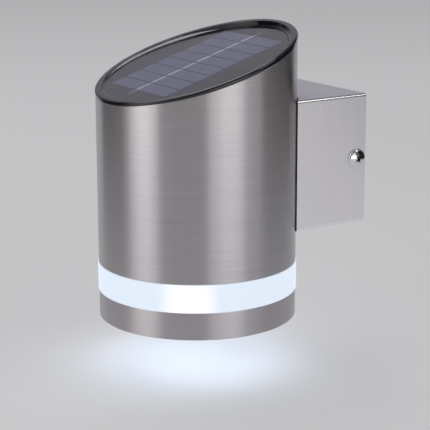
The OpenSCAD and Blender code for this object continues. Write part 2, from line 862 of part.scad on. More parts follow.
module switch_shroud() {
    color("#1b1c1e") on_axis() translate([0, switch_back, 0]) difference() {
        union() {
            translate([-shroud_l / 2, -shroud_w / 2, cup_under_z - shroud_flange_t / 2])
                cube([shroud_l, shroud_w, shroud_top_z - cup_under_z + shroud_flange_t / 2]);
            translate([-shroud_l / 2 - shroud_flange_w, -shroud_w / 2 - shroud_flange_w,
                cup_under_z - shroud_flange_t])
                cube([shroud_l + 2 * shroud_flange_w, shroud_w + 2 * shroud_flange_w,
                    shroud_flange_t]);
        }
        translate([-switch_l / 2 - fit_gap, -switch_w / 2 - fit_gap, switch_floor_z])
            cube([switch_l + 2 * fit_gap, switch_w + 2 * fit_gap, shroud_top_z - switch_floor_z + 1]);
        translate([-slot_l / 2, -slot_w / 2, base_bottom_z - 1])
            cube([slot_l, slot_w, switch_floor_z - base_bottom_z + 2]);
    }
}

module switch_body() {
    color("#8f9499") on_axis() translate([0, switch_back, 0]) difference() {
        translate([-switch_l / 2, -switch_w / 2, switch_floor_z]) cube([switch_l, switch_w, switch_h]);
        translate([-slot_l / 2, -slot_w / 2, switch_floor_z - 1]) cube([slot_l, slot_w, slot_lip + 2]);
        translate([-foot_room_l / 2, -foot_room_w / 2, switch_floor_z + slot_lip])
            cube([foot_room_l, foot_room_w, foot_h + 2 * run_gap]);
    }
}

// The knob rests at the -X end of its slot and slides towards +X
module switch_knob() {
    color("#dfe2e4") on_axis() translate([-switch_travel / 2, switch_back, 0]) {
        translate([-knob_l / 2, -knob_w / 2, knob_tip_z]) cube([knob_l, knob_w, foot_z - knob_tip_z + 0.5]);
        translate([-foot_l / 2, -foot_w / 2, foot_z]) cube([foot_l, foot_w, foot_h]);
    }
}

// Bracket

// Square bar along Y with round long edges
module round_bar(half_w, half_h, edge_r, from_y, to_y) {
    translate([0, from_y, 0]) rotate([-90, 0, 0]) {
        translate([-half_w + edge_r, -half_h, 0]) cube([2 * (half_w - edge_r), 2 * half_h, to_y - from_y]);
        translate([-half_w, -half_h + edge_r, 0]) cube([2 * half_w, 2 * (half_h - edge_r), to_y - from_y]);
        for (x = [-1, 1]) {
            for (z = [-1, 1]) {
                translate([x * (half_w - edge_r), z * (half_h - edge_r), 0])
                    cylinder(h = to_y - from_y, r = edge_r, $fn = 32);
            }
        }
    }
}

module bracket_box() {
    color("#b3b0b4") difference() {
        round_bar(bracket_w / 2, bracket_h / 2, bracket_edge_r, -axis_to_wall, box_back_y);
        translate([-inner_half_w, -axis_to_wall - 1, -inner_half_h])
            cube([2 * inner_half_w, axis_to_wall + 2, 2 * inner_half_h]);
        on_axis() upright(saddle_r, -bracket_h, bracket_h);
        translate([-bracket_w, -side_screw_out, 0]) rotate([0, 90, 0])
            cylinder(h = 2 * bracket_w, r = m4_d / 2 + hole_gap);
    }
}

// Rear part of a ring round the tube, cut to a rectangle
module saddle_shell(in_r, out_r, half_w, half_h) {
    on_axis() intersection() {
        difference() {
            upright(out_r, -half_h, half_h);
            upright(in_r, -half_h - 1, half_h + 1);
        }
        translate([-half_w, 0, -half_h]) cube([2 * half_w, body_d, 2 * half_h]);
    }
}

// Children at each saddle bolt, at the tube's axis
module at_saddle_bolts() {
    on_axis() for (side = [-1, 1]) {
        translate([0, 0, side * saddle_pitch / 2]) children();
    }
}

module saddle_plate() {
    color("#9c9a9e") difference() {
        saddle_shell(saddle_r, saddle_back_r, inner_half_w, inner_half_h);
        at_saddle_bolts() hole_y(m4_d / 2 + hole_gap, body_d);
    }
}

module saddle_gasket() {
    color("#111112") difference() {
        saddle_shell(body_r + seat_gap, saddle_r - seat_gap, bracket_w / 2 - gasket_inset,
            bracket_h / 2 - gasket_inset);
        at_saddle_bolts() hole_y(m4_d / 2 + hole_gap, body_d);
    }
}

module saddle_bolts() {
    grip = saddle_back_r - saddle_nut_seat + m4_nut_h + m4_tip;
    color("#b9bcc0") at_saddle_bolts()
        translate([0, saddle_back_r, 0]) rotate([-90, 0, 0]) screw(m4_d, grip, m4_head_d, m4_head_h);
}

module saddle_nuts() {
    color("#b9bcc0") at_saddle_bolts()
        translate([0, saddle_nut_seat, 0]) rotate([90, 0, 0]) hex_nut();
}

module wall_plate() {
    color("#8f9194") difference() {
        union() {
            translate([-plate_half_w, -plate_t, -plate_half_h]) cube([2 * plate_half_w, plate_t, 2 * plate_half_h]);
            for (side = [-1, 1]) {
                translate([side * (plate_half_w - flange_t / 2) - flange_t / 2, -flange_l, -flange_h / 2])
                    cube([flange_t, flange_l, flange_h]);
            }
        }
        for (side = [-1, 1]) {
            translate([0, -plate_t - 1, side * wall_hole_pitch / 2]) hole_y(wall_hole_d / 2, plate_t + 2);
        }
        translate([-bracket_w, -side_screw_out, 0]) rotate([0, 90, 0])
            cylinder(h = 2 * bracket_w, r = m4_d / 2 + seat_gap);
    }
}

module flange_nuts() {
    color("#b9bcc0") for (side = [0, 1]) {
        mirror([side, 0, 0]) translate([side_nut_x, -side_screw_out, 0]) rotate([0, -90, 0]) hex_nut();
    }
}

// Side screw: a domed head on a collar, with its seat on the box's side
module side_screw() {
    shape = [[0, 0], [collar_d / 2, 0], [collar_d / 2, collar_h * 0.7], [collar_d / 2 - 0.3, collar_h],
        [dome_d / 2, collar_h], [dome_d / 2, collar_h + dome_h * 0.4],
        [dome_d / 2 * 0.85, collar_h + dome_h * 0.75], [dome_d / 2 * 0.5, collar_h + dome_h * 0.97],
        [0, collar_h + dome_h]];
    difference() {
        union() {
            rotate_extrude() polygon(shape);
            translate([0, 0, -side_screw_l]) cylinder(h = side_screw_l + collar_h, r = m4_d / 2);
        }
        rotate([0, 0, side_screw_turn]) translate([0, 0, collar_h + dome_h]) cross_recess();
    }
}

module side_screws() {
    color("#c6c8cb") for (side = [0, 1]) {
        mirror([side, 0, 0]) translate([bracket_w / 2, -side_screw_out, 0]) rotate([0, 90, 0]) side_screw();
    }
}

// Leads

module panel_leads() {
    start_z = body_rise + control_back * slope + panel_board_bottom;
    low_z = socket_top_z + 1.8 * lead_run;
    route = [[0, control_back, start_z], [0, control_back, start_z - lead_run],
        [-socket_x / 3, (control_back + socket_y) / 2, (start_z + low_z) / 2],
        [-socket_x, socket_y, low_z], [-socket_x, socket_y, socket_top_z]];
    on_axis() lead_pair(route, ["#b02a22", "#1a1a1a"], 4);
}

module battery_leads() {
    reach_x = holder_half_l + holder_end / 2;
    on_axis() for (side = [-1, 1]) {
        route = [[side * cavity_x, battery_lead_y, cell_z],
            [side * (holder_half_l + lead_d), battery_lead_y, cell_z],
            [side * (reach_x + lead_d), battery_lead_y + lead_arch / 3, cell_z + holder_end / 2],
            [side * (holder_half_l - holder_end), socket_y - holder_end, socket_top_z + 0.8 * lead_arch],
            [side * (socket_x + holder_end), socket_y - 2 * lead_pitch, socket_top_z + lead_arch],
            [side * socket_x / 2, socket_y - 2 * lead_pitch, socket_top_z + lead_arch],
            [side * lead_pitch / 2, socket_y, socket_top_z + lead_arch / 2],
            [side * lead_pitch / 2, socket_y, socket_top_z]];
        color(side > 0 ? "#b02a22" : "#1a1a1a") swept(smooth(route, 4), lead_d, 8);
    }
}

module led_leads() {
    on_axis() lead_pair([[0, led_lead_y, chassis_z], [0, led_lead_y, control_z]], ["#b02a22", "#1a1a1a"], 3);
}

module switch_leads() {
    on_axis() lead_pair([[0, switch_lead_y, switch_top_z], [0, switch_lead_y, control_z]],
        ["#c9c9c4", "#c9c9c4"], 6);
}

body_tube();
rim_seal();
top_bezel();
panel_tray();
panel_board();
solar_cells();
cell_busbar();
panel_window();
lens_cup();
cup_seal();
base_ring();
tie_screws();
spacer_tubes();
chassis();
led_board();
led_chips();
reflector();
battery_holder();
battery_cell();
battery_spring();
battery_contact();
battery_cover();
cover_screws();
control_board();
board_screws();
driver_chip();
storage_coil();
capacitor();
wire_sockets();
switch_shroud();
switch_body();
switch_knob();
bracket_box();
saddle_plate();
saddle_gasket();
saddle_bolts();
saddle_nuts();
wall_plate();
flange_nuts();
side_screws();
panel_leads();
battery_leads();
led_leads();
switch_leads();
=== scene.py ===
"""Looks of the solar wall light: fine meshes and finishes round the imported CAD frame.

Metres, in the frame's own axes. The wall is the plane y = 0, the lamp stands off towards -Y, and
the round shell's axis is upright.
"""

import logging
import math
from dataclasses import dataclass
from enum import Enum

import bmesh
import bpy
from mathutils import Matrix, Vector


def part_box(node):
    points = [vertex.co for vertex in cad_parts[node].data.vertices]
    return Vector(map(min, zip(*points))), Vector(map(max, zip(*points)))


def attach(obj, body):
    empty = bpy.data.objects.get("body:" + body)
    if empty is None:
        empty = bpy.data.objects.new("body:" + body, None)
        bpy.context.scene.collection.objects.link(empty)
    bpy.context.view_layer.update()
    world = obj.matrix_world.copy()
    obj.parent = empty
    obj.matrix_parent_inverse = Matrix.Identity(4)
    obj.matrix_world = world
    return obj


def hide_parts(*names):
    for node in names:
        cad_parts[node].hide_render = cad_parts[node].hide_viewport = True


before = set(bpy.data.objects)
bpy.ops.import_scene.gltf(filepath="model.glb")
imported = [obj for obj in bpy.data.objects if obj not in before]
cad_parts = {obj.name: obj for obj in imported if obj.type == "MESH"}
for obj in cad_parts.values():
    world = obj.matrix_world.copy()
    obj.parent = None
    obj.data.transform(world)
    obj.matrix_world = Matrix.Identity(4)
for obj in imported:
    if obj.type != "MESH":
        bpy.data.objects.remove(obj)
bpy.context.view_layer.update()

LOG = logging.getLogger("wall_light")
MM = 0.001
TURN = 2 * math.pi
LAMP = "lamp"
KNOB = "knob"

# Points closer than this are merged
WELD = 1e-7
# A point this close to a plane lies in it
NEAR = 1e-6
# How far a cutter or a joined solid reaches past a face
PAST = 1.0 * MM
# Span that a noise pattern's values mostly stay in
SWING = (0.3, 0.7)
# Name of the UV map that carries the bracket's grain
GRAIN_MAP = "grain"

Point = tuple[float, float]
Triple = tuple[float, float, float]
Mesh = bmesh.types.BMesh
Object = bpy.types.Object
Socket = bpy.types.NodeSocket


def node_middle(node: str) -> Vector:
    """Middle of a CAD node's box."""
    low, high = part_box(node)
    return (low + high) / 2


def node_width(node: str) -> float:
    """Width of a CAD node's box along X."""
    low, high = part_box(node)
    return high.x - low.x


@dataclass(frozen=True)
class LampFrame:
    """Places that several sub-assemblies share.

    All but the slant, the seal and the bore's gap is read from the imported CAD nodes.
    """

    slant: float = math.radians(17.2)
    seal: float = 0.4 * MM
    bore_gap: float = 0.3 * MM
    axis_y: float = node_middle("base_ring").y
    shell_r: float = node_width("base_ring") / 2
    bore_r: float = node_width("chassis") / 2 + bore_gap
    shell_bottom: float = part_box("body_tube")[0].z
    band_bottom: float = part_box("base_ring")[1].z
    base_bottom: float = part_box("base_ring")[0].z
    shell_peak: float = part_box("body_tube")[1].z

    @property
    def slope(self) -> float:
        """Rise of the slanted rim per metre towards the wall."""
        return math.tan(self.slant)

    @property
    def rise(self) -> float:
        """Height of the slanted rim on the shell's axis."""
        return self.shell_peak - self.shell_r * self.slope

    def on_slope(self, lift: float) -> Matrix:
        """Frame in the slanted plane, with Z square to it, a height above the rim on the axis."""
        place = Matrix.Translation((0, self.axis_y, self.rise + lift))
        return place @ Matrix.Rotation(self.slant, 4, "X")

    def leaning(self) -> Matrix:
        """Shear that lifts each point by the rim's slope at its distance from the axis.

        Returns:
            The matrix, for points in the object's frame.
        """
        shear = Matrix.Identity(4)
        shear[2][1] = self.slope
        shear[2][3] = -self.slope * self.axis_y
        return shear


SHAPE = LampFrame()


# Mesh making


def quarter(steps: int) -> list[float]:
    """Angles from 0 to a quarter turn, in equal steps."""
    return [TURN / 4 * k / steps for k in range(steps + 1)]


def rounded(corners: list[Triple], steps: int = 4) -> list[Point]:
    """Outline with its corners rounded off.

    Args:
        corners: Each corner's two coordinates and its radius, in order round the outline.
        steps: Pieces of each rounded corner.

    Returns:
        The outline's points.
    """
    points: list[Point] = []
    count = len(corners)
    for i, (x, y, radius) in enumerate(corners):
        here = Vector((x, y))
        if radius <= 0:
            points.append((x, y))
            continue
        back = (Vector(corners[i - 1][:2]) - here).normalized()
        ahead = (Vector(corners[(i + 1) % count][:2]) - here).normalized()
        half = back.angle(ahead) / 2
        centre = here + (back + ahead).normalized() * (radius / math.sin(half))
        start = here + back * (radius / math.tan(half)) - centre
        end = here + ahead * (radius / math.tan(half)) - centre
        sweep = start.angle_signed(end)
        for k in range(steps + 1):
            turned = Matrix.Rotation(-sweep * k / steps, 2) @ start
            points.append(tuple(centre + turned))
    return points


def revolve(profile: list[Point], steps: int = 192, closed: bool = True) -> Mesh:
    """Spins an outline of radius and height round the Z axis.

    Args:
        profile: Radius and height of each point.
        steps: Pieces round the turn.
        closed: Whether the last point joins the first.

    Returns:
        The mesh, with its normals outwards.
    """
    bm = bmesh.new()
    verts = [bm.verts.new((r, 0, z)) for r, z in profile]
    pairs = list(zip(verts, verts[1:])) + ([(verts[-1], verts[0])] if closed else [])
    edges = [bm.edges.new(pair) for pair in pairs]
    bmesh.ops.spin(bm, geom=verts + edges, cent=(0, 0, 0), axis=(0, 0, 1), dvec=(0, 0, 0),
                   angle=TURN, steps=steps, use_merge=True)
    bmesh.ops.remove_doubles(bm, verts=bm.verts, dist=WELD)
    bmesh.ops.recalc_face_normals(bm, faces=bm.faces)
    return bm


def move(bm: Mesh, matrix: Matrix, verts: list | None = None) -> Mesh:
    """Applies a matrix to some or all of a mesh's points."""
    bmesh.ops.transform(bm, matrix=matrix, verts=bm.verts if verts is None else verts)
    return bm


def to_axis(bm: Mesh) -> Mesh:
    """Moves a mesh made round the origin to the shell's axis."""
    return move(bm, Matrix.Translation((0, SHAPE.axis_y, 0)))


def bevel(bm: Mesh, edges: list, offset: float, segments: int) -> None:
    """Rounds some of a mesh's edges."""
    bmesh.ops.bevel(bm, geom=edges, offset=offset, offset_type="OFFSET", segments=segments,
                    profile=0.5, affect="EDGES", material=-1)


def block(size: Triple, centre: Triple, edge: float = 0.0, segments: int = 2) -> Mesh:
    """Box with rounded edges.

    Args:
        size: Length along each axis.
        centre: Middle of the box.
        edge: Radius of its edges, or 0 for sharp ones.
        segments: Pieces of each rounded edge.

    Returns:
        The mesh.
    """
    bm = bmesh.new()
    bmesh.ops.create_cube(bm, size=1)
    move(bm, Matrix.Translation(centre) @ Matrix.Diagonal((*size, 1)))
    if edge > 0:
        bevel(bm, bm.edges[:], edge, segments)
    return bm


def rod(radius: float, low: float, high: float, steps: int = 64) -> Mesh:
    """Upright cylinder on the Z axis.

    Args:
        radius: Its radius.
        low: Height of its lower end.
        high: Height of its upper end.
        steps: Pieces round the turn.

    Returns:
        The mesh.
    """
    bm = bmesh.new()
    bmesh.ops.create_cone(bm, cap_ends=True, segments=steps, radius1=radius, radius2=radius,
                          depth=high - low, matrix=Matrix.Translation((0, 0, (low + high) / 2)))
    return bm


def merged(parts: list[Mesh]) -> Mesh:
    """One mesh that holds several separate ones.

    Args:
        parts: The meshes, which are used up.

    Returns:
        The new mesh.
    """
    whole = bmesh.new()
    for part in parts:
        mesh = bpy.data.meshes.new("part")
        part.to_mesh(mesh)
        part.free()
        whole.from_mesh(mesh)
        bpy.data.meshes.remove(mesh)
    return whole


def linked(name: str, data: bpy.types.ID) -> Object:
    """Puts a mesh, light or camera in the scene, at the origin.

    Args:
        name: The object's name.
        data: What it shows.

    Returns:
        The new object.
    """
    thing = bpy.data.objects.new(name, data)
    bpy.context.scene.collection.objects.link(thing)
    return thing


def as_object(name: str, bm: Mesh) -> Object:
    """Turns a bmesh into an object at the origin.

    Args:
        name: The object's name.
        bm: The mesh, which is used up.

    Returns:
        The new object.
    """
    mesh = bpy.data.meshes.new(name)
    bm.to_mesh(mesh)
    bm.free()
    return linked(name, mesh)


def apply_modifiers(piece: Object) -> None:
    """Bakes a piece's modifiers into its mesh.

    Args:
        piece: The object to change.
    """
    bpy.context.view_layer.update()
    evaluated = piece.evaluated_get(bpy.context.evaluated_depsgraph_get())
    mesh = bpy.data.meshes.new_from_object(evaluated)
    piece.modifiers.clear()
    old = piece.data
    piece.data = mesh
    bpy.data.meshes.remove(old)
    mesh.name = piece.name


class Cut(Enum):
    """How a second solid changes a piece."""

    AWAY = "DIFFERENCE"
    JOIN = "UNION"


def carve(piece: Object, solids: list[Mesh], how: Cut = Cut.AWAY) -> None:
    """Cuts solids out of a piece, or joins them to it.

    Args:
        piece: The object to change.
        solids: Meshes in the object's frame.
        how: Whether they are cut away or joined on.
    """
    for number, bm in enumerate(solids):
        tool = as_object(f"{piece.name}_tool_{number}", bm)
        change = piece.modifiers.new("carve", "BOOLEAN")
        change.operation = how.value
        change.solver = "EXACT"
        change.object = tool
        apply_modifiers(piece)
        bpy.data.objects.remove(tool)


def finish_shading(piece: Object, sharp_deg: float) -> None:
    """Smooth shading that keeps flat faces flat and hard edges hard.

    Args:
        piece: The object to shade.
        sharp_deg: Edges that turn more than this stay hard.
    """
    piece.data.polygons.foreach_set("use_smooth", [True] * len(piece.data.polygons))
    piece.data.set_sharp_from_angle(angle=math.radians(sharp_deg))
    even = piece.modifiers.new("even_normals", "WEIGHTED_NORMAL")
    even.keep_sharp = True
    apply_modifiers(piece)


# Shader building


class Nodes:
    """Short-hand for building one node tree."""

    def __init__(self, tree: bpy.types.NodeTree) -> None:
        """Keeps the tree to build in."""
        self.tree = tree

    def add(self, kind: str, links: dict | None = None, **settings: object) -> bpy.types.Node:
        """Adds a node.

        Args:
            kind: The node type's name.
            links: Values or output sockets for its inputs, by name or number.
            **settings: Properties of the node.

        Returns:
            The new node.
        """
        node = self.tree.nodes.new(kind)
        for name, value in settings.items():
            setattr(node, name, value)
        for key, value in (links or {}).items():
            self.feed(node, key, value)
        return node

    def feed(self, node: bpy.types.Node, key: str | int, value: object) -> None:
        """Sets or links one input of a node.

        Args:
            node: The node.
            key: The input's name or number.
            value: A value, or the output socket to link.
        """
        if isinstance(value, Socket):
            self.tree.links.new(value, node.inputs[key])
        else:
            node.inputs[key].default_value = value

    def object_place(self) -> Socket:
        """Object coordinates."""
        return self.add("ShaderNodeTexCoord").outputs["Object"]

    def maths(self, operation: str, a: object, b: object = 0.0, c: object = 0.0) -> Socket:
        """Result of one Math node."""
        return self.add("ShaderNodeMath", {0: a, 1: b, 2: c}, operation=operation).outputs[0]

    def noise(self, place: object, scale: object, detail: float, roughness: float = 0.5) -> Socket:
        """Value of a noise pattern."""
        links = {"Vector": place, "Scale": scale, "Detail": detail, "Roughness": roughness}
        return self.add("ShaderNodeTexNoise", links).outputs[0]

    def mixed(self, first: object, second: object, share: float) -> Socket:
        """Sum of two values, where the first has the given share."""
        return self.maths("MULTIPLY_ADD", first, share, self.maths("MULTIPLY", second, 1 - share))

    def level(self, pattern: object, contrast: object) -> Socket:
        """Factor about 1 that follows a pattern, whose middle is 0.5."""
        return self.maths("MULTIPLY_ADD", self.maths("SUBTRACT", pattern, 0.5), contrast, 1.0)

    def scaled(self, colour: object, factor: object) -> Socket:
        """Colour times a factor."""
        links = {0: colour, "Scale": factor}
        return self.add("ShaderNodeVectorMath", links, operation="SCALE").outputs[0]

    def blend(self, amount: object, first: object, second: object) -> Socket:
        """Colour between two colours."""
        links = {0: amount, 6: first, 7: second}
        return self.add("ShaderNodeMix", links, data_type="RGBA").outputs[2]

    def remap(self, value: object, span: Point, to: Point = (0.0, 1.0),
              smooth: bool = False) -> Socket:
        """Maps a value from one span to another, and holds it inside.

        Args:
            value: The value to map.
            span: Where it comes from.
            to: Where it goes.
            smooth: Whether it starts and ends gently.

        Returns:
            The mapped value.
        """
        links = {"Value": value, "From Min": span[0], "From Max": span[1], "To Min": to[0],
                 "To Max": to[1]}
        kind = "SMOOTHSTEP" if smooth else "LINEAR"
        return self.add("ShaderNodeMapRange", links, interpolation_type=kind).outputs[0]


def rgba(colour: Triple) -> tuple[float, float, float, float]:
    """Colour with a full alpha."""
    return (*colour, 1.0)


class SharedEffects:
    """Node groups that more than one finish uses, each built once."""

    broad_scale: float = 0.23
    broad_share: float = 0.25
    cloud_scale: float = 22.0
    cloud_span: Point = (0.35, 0.65)
    patch_scale: float = 60.0
    patch_share: float = 0.5

    def __init__(self) -> None:
        """Builds the groups."""
        self.grain = self._grain()
        self.mottle = self._mottle()

    @staticmethod
    def _new(name: str, inputs: dict[str, str],
             outputs: dict[str, str]) -> tuple[Nodes, bpy.types.Node, bpy.types.Node]:
        """Empty group with its sockets.

        Args:
            name: The group's name.
            inputs: Socket type of each input, by its name.
            outputs: Socket type of each output, by its name.

        Returns:
            The node builder, the group's input node and its output node.
        """
        tree = bpy.data.node_groups.new(name, "ShaderNodeTree")
        for way, sockets in (("INPUT", inputs), ("OUTPUT", outputs)):
            for label, kind in sockets.items():
                tree.interface.new_socket(name=label, in_out=way, socket_type=kind)
        nodes = Nodes(tree)
        return nodes, nodes.add("NodeGroupInput"), nodes.add("NodeGroupOutput")

    def _grain(self) -> bpy.types.NodeTree:
        """Brushed grain: long streaks of two widths, on stretched Object coordinates.

        Returns:
            The group.
        """
        nodes, given, out = self._new(
            "brushed_grain",
            {"Colour": "NodeSocketColor", "Tint": "NodeSocketColor",
             "Stretch": "NodeSocketVector", "Contrast": "NodeSocketFloat"},
            {"Colour": "NodeSocketColor", "Streaks": "NodeSocketFloat"})
        place = nodes.object_place()
        along = nodes.add("ShaderNodeVectorMath", {0: place, 1: given.outputs["Stretch"]},
                          operation="MULTIPLY").outputs[0]
        fine = nodes.noise(along, scale=1.0, detail=3.0, roughness=0.65)
        broad = nodes.noise(along, self.broad_scale, detail=1.0)
        cloud = nodes.noise(place, self.cloud_scale, detail=2.0)
        streaks = nodes.mixed(broad, fine, self.broad_share)
        tinted = nodes.blend(nodes.remap(cloud, self.cloud_span), given.outputs["Colour"],
                             given.outputs["Tint"])
        level = nodes.level(streaks, given.outputs["Contrast"])
        nodes.feed(out, "Colour", nodes.scaled(tinted, level))
        nodes.feed(out, "Streaks", streaks)
        return nodes.tree

    def _mottle(self) -> bpy.types.NodeTree:
        """Fine moulded or cast texture: a colour that varies a little, and a height.

        Returns:
            The group.
        """
        nodes, given, out = self._new(
            "fine_mottle",
            {"Colour": "NodeSocketColor", "Scale": "NodeSocketFloat", "Contrast": "NodeSocketFloat"},
            {"Colour": "NodeSocketColor", "Height": "NodeSocketFloat"})
        place = nodes.object_place()
        speck = nodes.noise(place, given.outputs["Scale"], detail=4.0)
        patch = nodes.noise(place, self.patch_scale, detail=2.0)
        level = nodes.level(nodes.mixed(patch, speck, self.patch_share), given.outputs["Contrast"])
        nodes.feed(out, "Colour", nodes.scaled(given.outputs["Colour"], level))
        nodes.feed(out, "Height", speck)
        return nodes.tree


EFFECTS = SharedEffects()


class Finish:
    """A material with a Principled surface."""

    def __init__(self, name: str) -> None:
        """Starts a material.

        Args:
            name: The material's name.
        """
        self.material = bpy.data.materials.new(name)
        self.material.use_nodes = True
        self.nodes = Nodes(self.material.node_tree)
        self.surface = self.material.node_tree.nodes["Principled BSDF"]

    def put(self, **values: object) -> None:
        """Sets or links inputs of the surface, with _ for a space in their names."""
        for key, value in values.items():
            self.nodes.feed(self.surface, key.replace("_", " "), value)

    def bump(self, height: Socket, depth: float, strength: float) -> None:
        """Feeds the surface's normal from a height."""
        links = {"Height": height, "Distance": depth, "Strength": strength}
        self.put(Normal=self.nodes.add("ShaderNodeBump", links).outputs[0])

    def group(self, tree: bpy.types.NodeTree, **values: object) -> bpy.types.bpy_prop_collection:
        """Places a shared effect in this material and gives its outputs."""
        return self.nodes.add("ShaderNodeGroup", values, node_tree=tree).outputs

    def mottled(self, colour: Triple, scale: float,
                contrast: float) -> bpy.types.bpy_prop_collection:
        """Places the fine mottle and gives its colour and height."""
        return self.group(EFFECTS.mottle, Colour=rgba(colour), Scale=scale, Contrast=contrast)


class Grain(Enum):
    """Which way brushed streaks run, as the stretch of their pattern."""

    AROUND = (30.0, 30.0, 2600.0)
    UPRIGHT = (2200.0, 2200.0, 12.0)
    ACROSS = (12.0, 2200.0, 2200.0)


class Highlight(Enum):
    """What steers a stretched highlight, as the settings of a Tangent node."""

    ROUND_AXIS = {"direction_type": "RADIAL", "axis": "Z"}
    ALONG_MAP = {"direction_type": "UV_MAP", "uv_map": GRAIN_MAP}


@dataclass(frozen=True)
class BrushedSteel:
    """Stainless steel with a brushed grain."""

    name: str
    colour: Triple
    tint: Triple
    grain: Grain
    roughness: float
    anisotropy: float
    contrast: float
    highlight: Highlight | None = None
    vary: float = 0.03

    def make(self) -> bpy.types.Material:
        """Builds the material.

        Returns:
            The material.
        """
        finish = Finish(self.name)
        grain = finish.group(EFFECTS.grain, Colour=rgba(self.colour), Tint=rgba(self.tint),
                             Stretch=self.grain.value, Contrast=self.contrast)
        rough = finish.nodes.remap(grain["Streaks"], SWING,
                                   (self.roughness - self.vary, self.roughness + self.vary))
        finish.put(Base_Color=grain["Colour"], Metallic=1.0, Roughness=rough,
                   Anisotropic=self.anisotropy)
        if self.highlight:
            tangent = finish.nodes.add("ShaderNodeTangent", **self.highlight.value)
            finish.put(Tangent=tangent.outputs[0], Anisotropic_Rotation=0.25)
        finish.bump(grain["Streaks"], depth=0.004 * MM, strength=0.6)
        return finish.material


@dataclass(frozen=True)
class Moulded:
    """Plastic, rubber or coated board with a fine texture."""

    name: str
    colour: Triple
    roughness: float = 0.5
    scale: float = 900.0
    contrast: float = 0.15
    depth: float = 0.01 * MM
    coat: float = 0.0
    gloss: float = 0.5
    vary: float = 0.04

    def make(self) -> bpy.types.Material:
        """Builds the material.

        Returns:
            The material.
        """
        finish = Finish(self.name)
        mottle = finish.mottled(self.colour, self.scale, self.contrast)
        rough = finish.nodes.remap(mottle["Height"], SWING,
                                   (self.roughness - self.vary, self.roughness + self.vary))
        finish.put(Base_Color=mottle["Colour"], Roughness=rough, Coat_Weight=self.coat,
                   Specular_IOR_Level=self.gloss)
        finish.bump(mottle["Height"], self.depth, strength=0.5)
        return finish.material


@dataclass(frozen=True)
class PlainMetal:
    """Plated or cast metal without a grain."""

    name: str
    colour: Triple
    roughness: float = 0.25
    contrast: float = 0.1
    scale: float = 700.0
    vary: float = 0.15

    def make(self) -> bpy.types.Material:
        """Builds the material.

        Returns:
            The material.
        """
        finish = Finish(self.name)
        mottle = finish.mottled(self.colour, self.scale, self.contrast)
        rough = finish.nodes.remap(mottle["Height"], SWING, (self.roughness * (1 - self.vary),
                                                             self.roughness * (1 + self.vary)))
        finish.put(Base_Color=mottle["Colour"], Metallic=1.0, Roughness=rough)
        finish.bump(mottle["Height"], depth=0.004 * MM, strength=0.4)
        return finish.material


@dataclass(frozen=True)
class ClearWindow:
    """Flat clear cover over the cells."""

    name: str = "clear_cover"
    colour: Triple = (0.97, 0.975, 0.985)
    roughness: float = 0.02
    ior: float = 1.4

    def make(self) -> bpy.types.Material:
        """Builds the material.

        Returns:
            The material.
        """
        finish = Finish(self.name)
        mottle = finish.mottled(self.colour, scale=300.0, contrast=0.02)
        finish.put(Base_Color=mottle["Colour"], Roughness=self.roughness, IOR=self.ior,
                   Transmission_Weight=1.0)
        return finish.material


@dataclass(frozen=True)
class LitLens:
    """Frosted lens, lit from inside: brightest about midway between the screw pillars."""

    name: str = "lit_lens"
    colour: Triple = (0.42, 0.46, 0.5)
    roughness: float = 0.42
    glow: Triple = (0.78, 0.87, 1.0)
    core: Triple = (1.0, 1.0, 1.0)
    strength: float = 2.4
    band_share: float = 0.3
    core_share: float = 0.35
    under_share: float = 0.24
    under_fade: float = 2.0 * MM
    top_share: float = 0.8
    lobe_angle: float = math.radians(-37)
    lobe_span: Point = (0.55, 1.0)
    lobes: int = 3

    def make(self) -> bpy.types.Material:
        """Builds the material.

        Returns:
            The material.
        """
        finish = Finish(self.name)
        nodes = finish.nodes
        place = nodes.add("ShaderNodeSeparateXYZ", {0: nodes.object_place()}).outputs
        angle = nodes.maths("ARCTAN2", nodes.maths("SUBTRACT", place[1], SHAPE.axis_y), place[0])
        turned = nodes.maths("SUBTRACT", angle, self.lobe_angle)
        wave = nodes.maths("COSINE", nodes.maths("MULTIPLY", turned, float(self.lobes)))
        lobe = nodes.remap(wave, self.lobe_span, smooth=True)
        bottom = SHAPE.band_bottom
        height = nodes.remap(place[2], (bottom, SHAPE.shell_bottom), (1.0, self.top_share))
        under = nodes.remap(place[2], (bottom, bottom - self.under_fade))
        lit = nodes.maths("MULTIPLY", nodes.maths("MULTIPLY", lobe, height),
                          nodes.maths("SUBTRACT", 1.0, under))
        side = nodes.remap(lit, (0.0, 1.0), (self.band_share, self.core_share))
        drop = nodes.maths("SUBTRACT", self.under_share, side)
        share = nodes.maths("MULTIPLY_ADD", drop, under, side)
        hue = nodes.blend(lit, rgba(self.glow), rgba(self.core))
        mottle = finish.mottled(self.colour, scale=1200.0, contrast=0.05)
        finish.put(Base_Color=mottle["Colour"], Roughness=self.roughness,
                   Emission_Color=nodes.scaled(hue, share), Emission_Strength=self.strength)
        finish.bump(mottle["Height"], depth=0.006 * MM, strength=0.4)
        return finish.material


@dataclass(frozen=True)
class CellSilicon:
    """Dark blue cell face with faint streaks across it."""

    name: str = "cell_silicon"
    colour: Triple = (0.09, 0.12, 0.36)
    tint: Triple = (0.105, 0.125, 0.4)
    stretch: Triple = (30.0, 900.0, 900.0)
    contrast: float = 0.6
    roughness: float = 0.3
    gloss: float = 0.2

    def make(self) -> bpy.types.Material:
        """Builds the material.

        Returns:
            The material.
        """
        finish = Finish(self.name)
        grain = finish.group(EFFECTS.grain, Colour=rgba(self.colour), Tint=rgba(self.tint),
                             Stretch=self.stretch, Contrast=self.contrast)
        finish.put(Base_Color=grain["Colour"], Roughness=self.roughness,
                   Specular_IOR_Level=self.gloss)
        finish.bump(grain["Streaks"], depth=0.003 * MM, strength=0.4)
        return finish.material


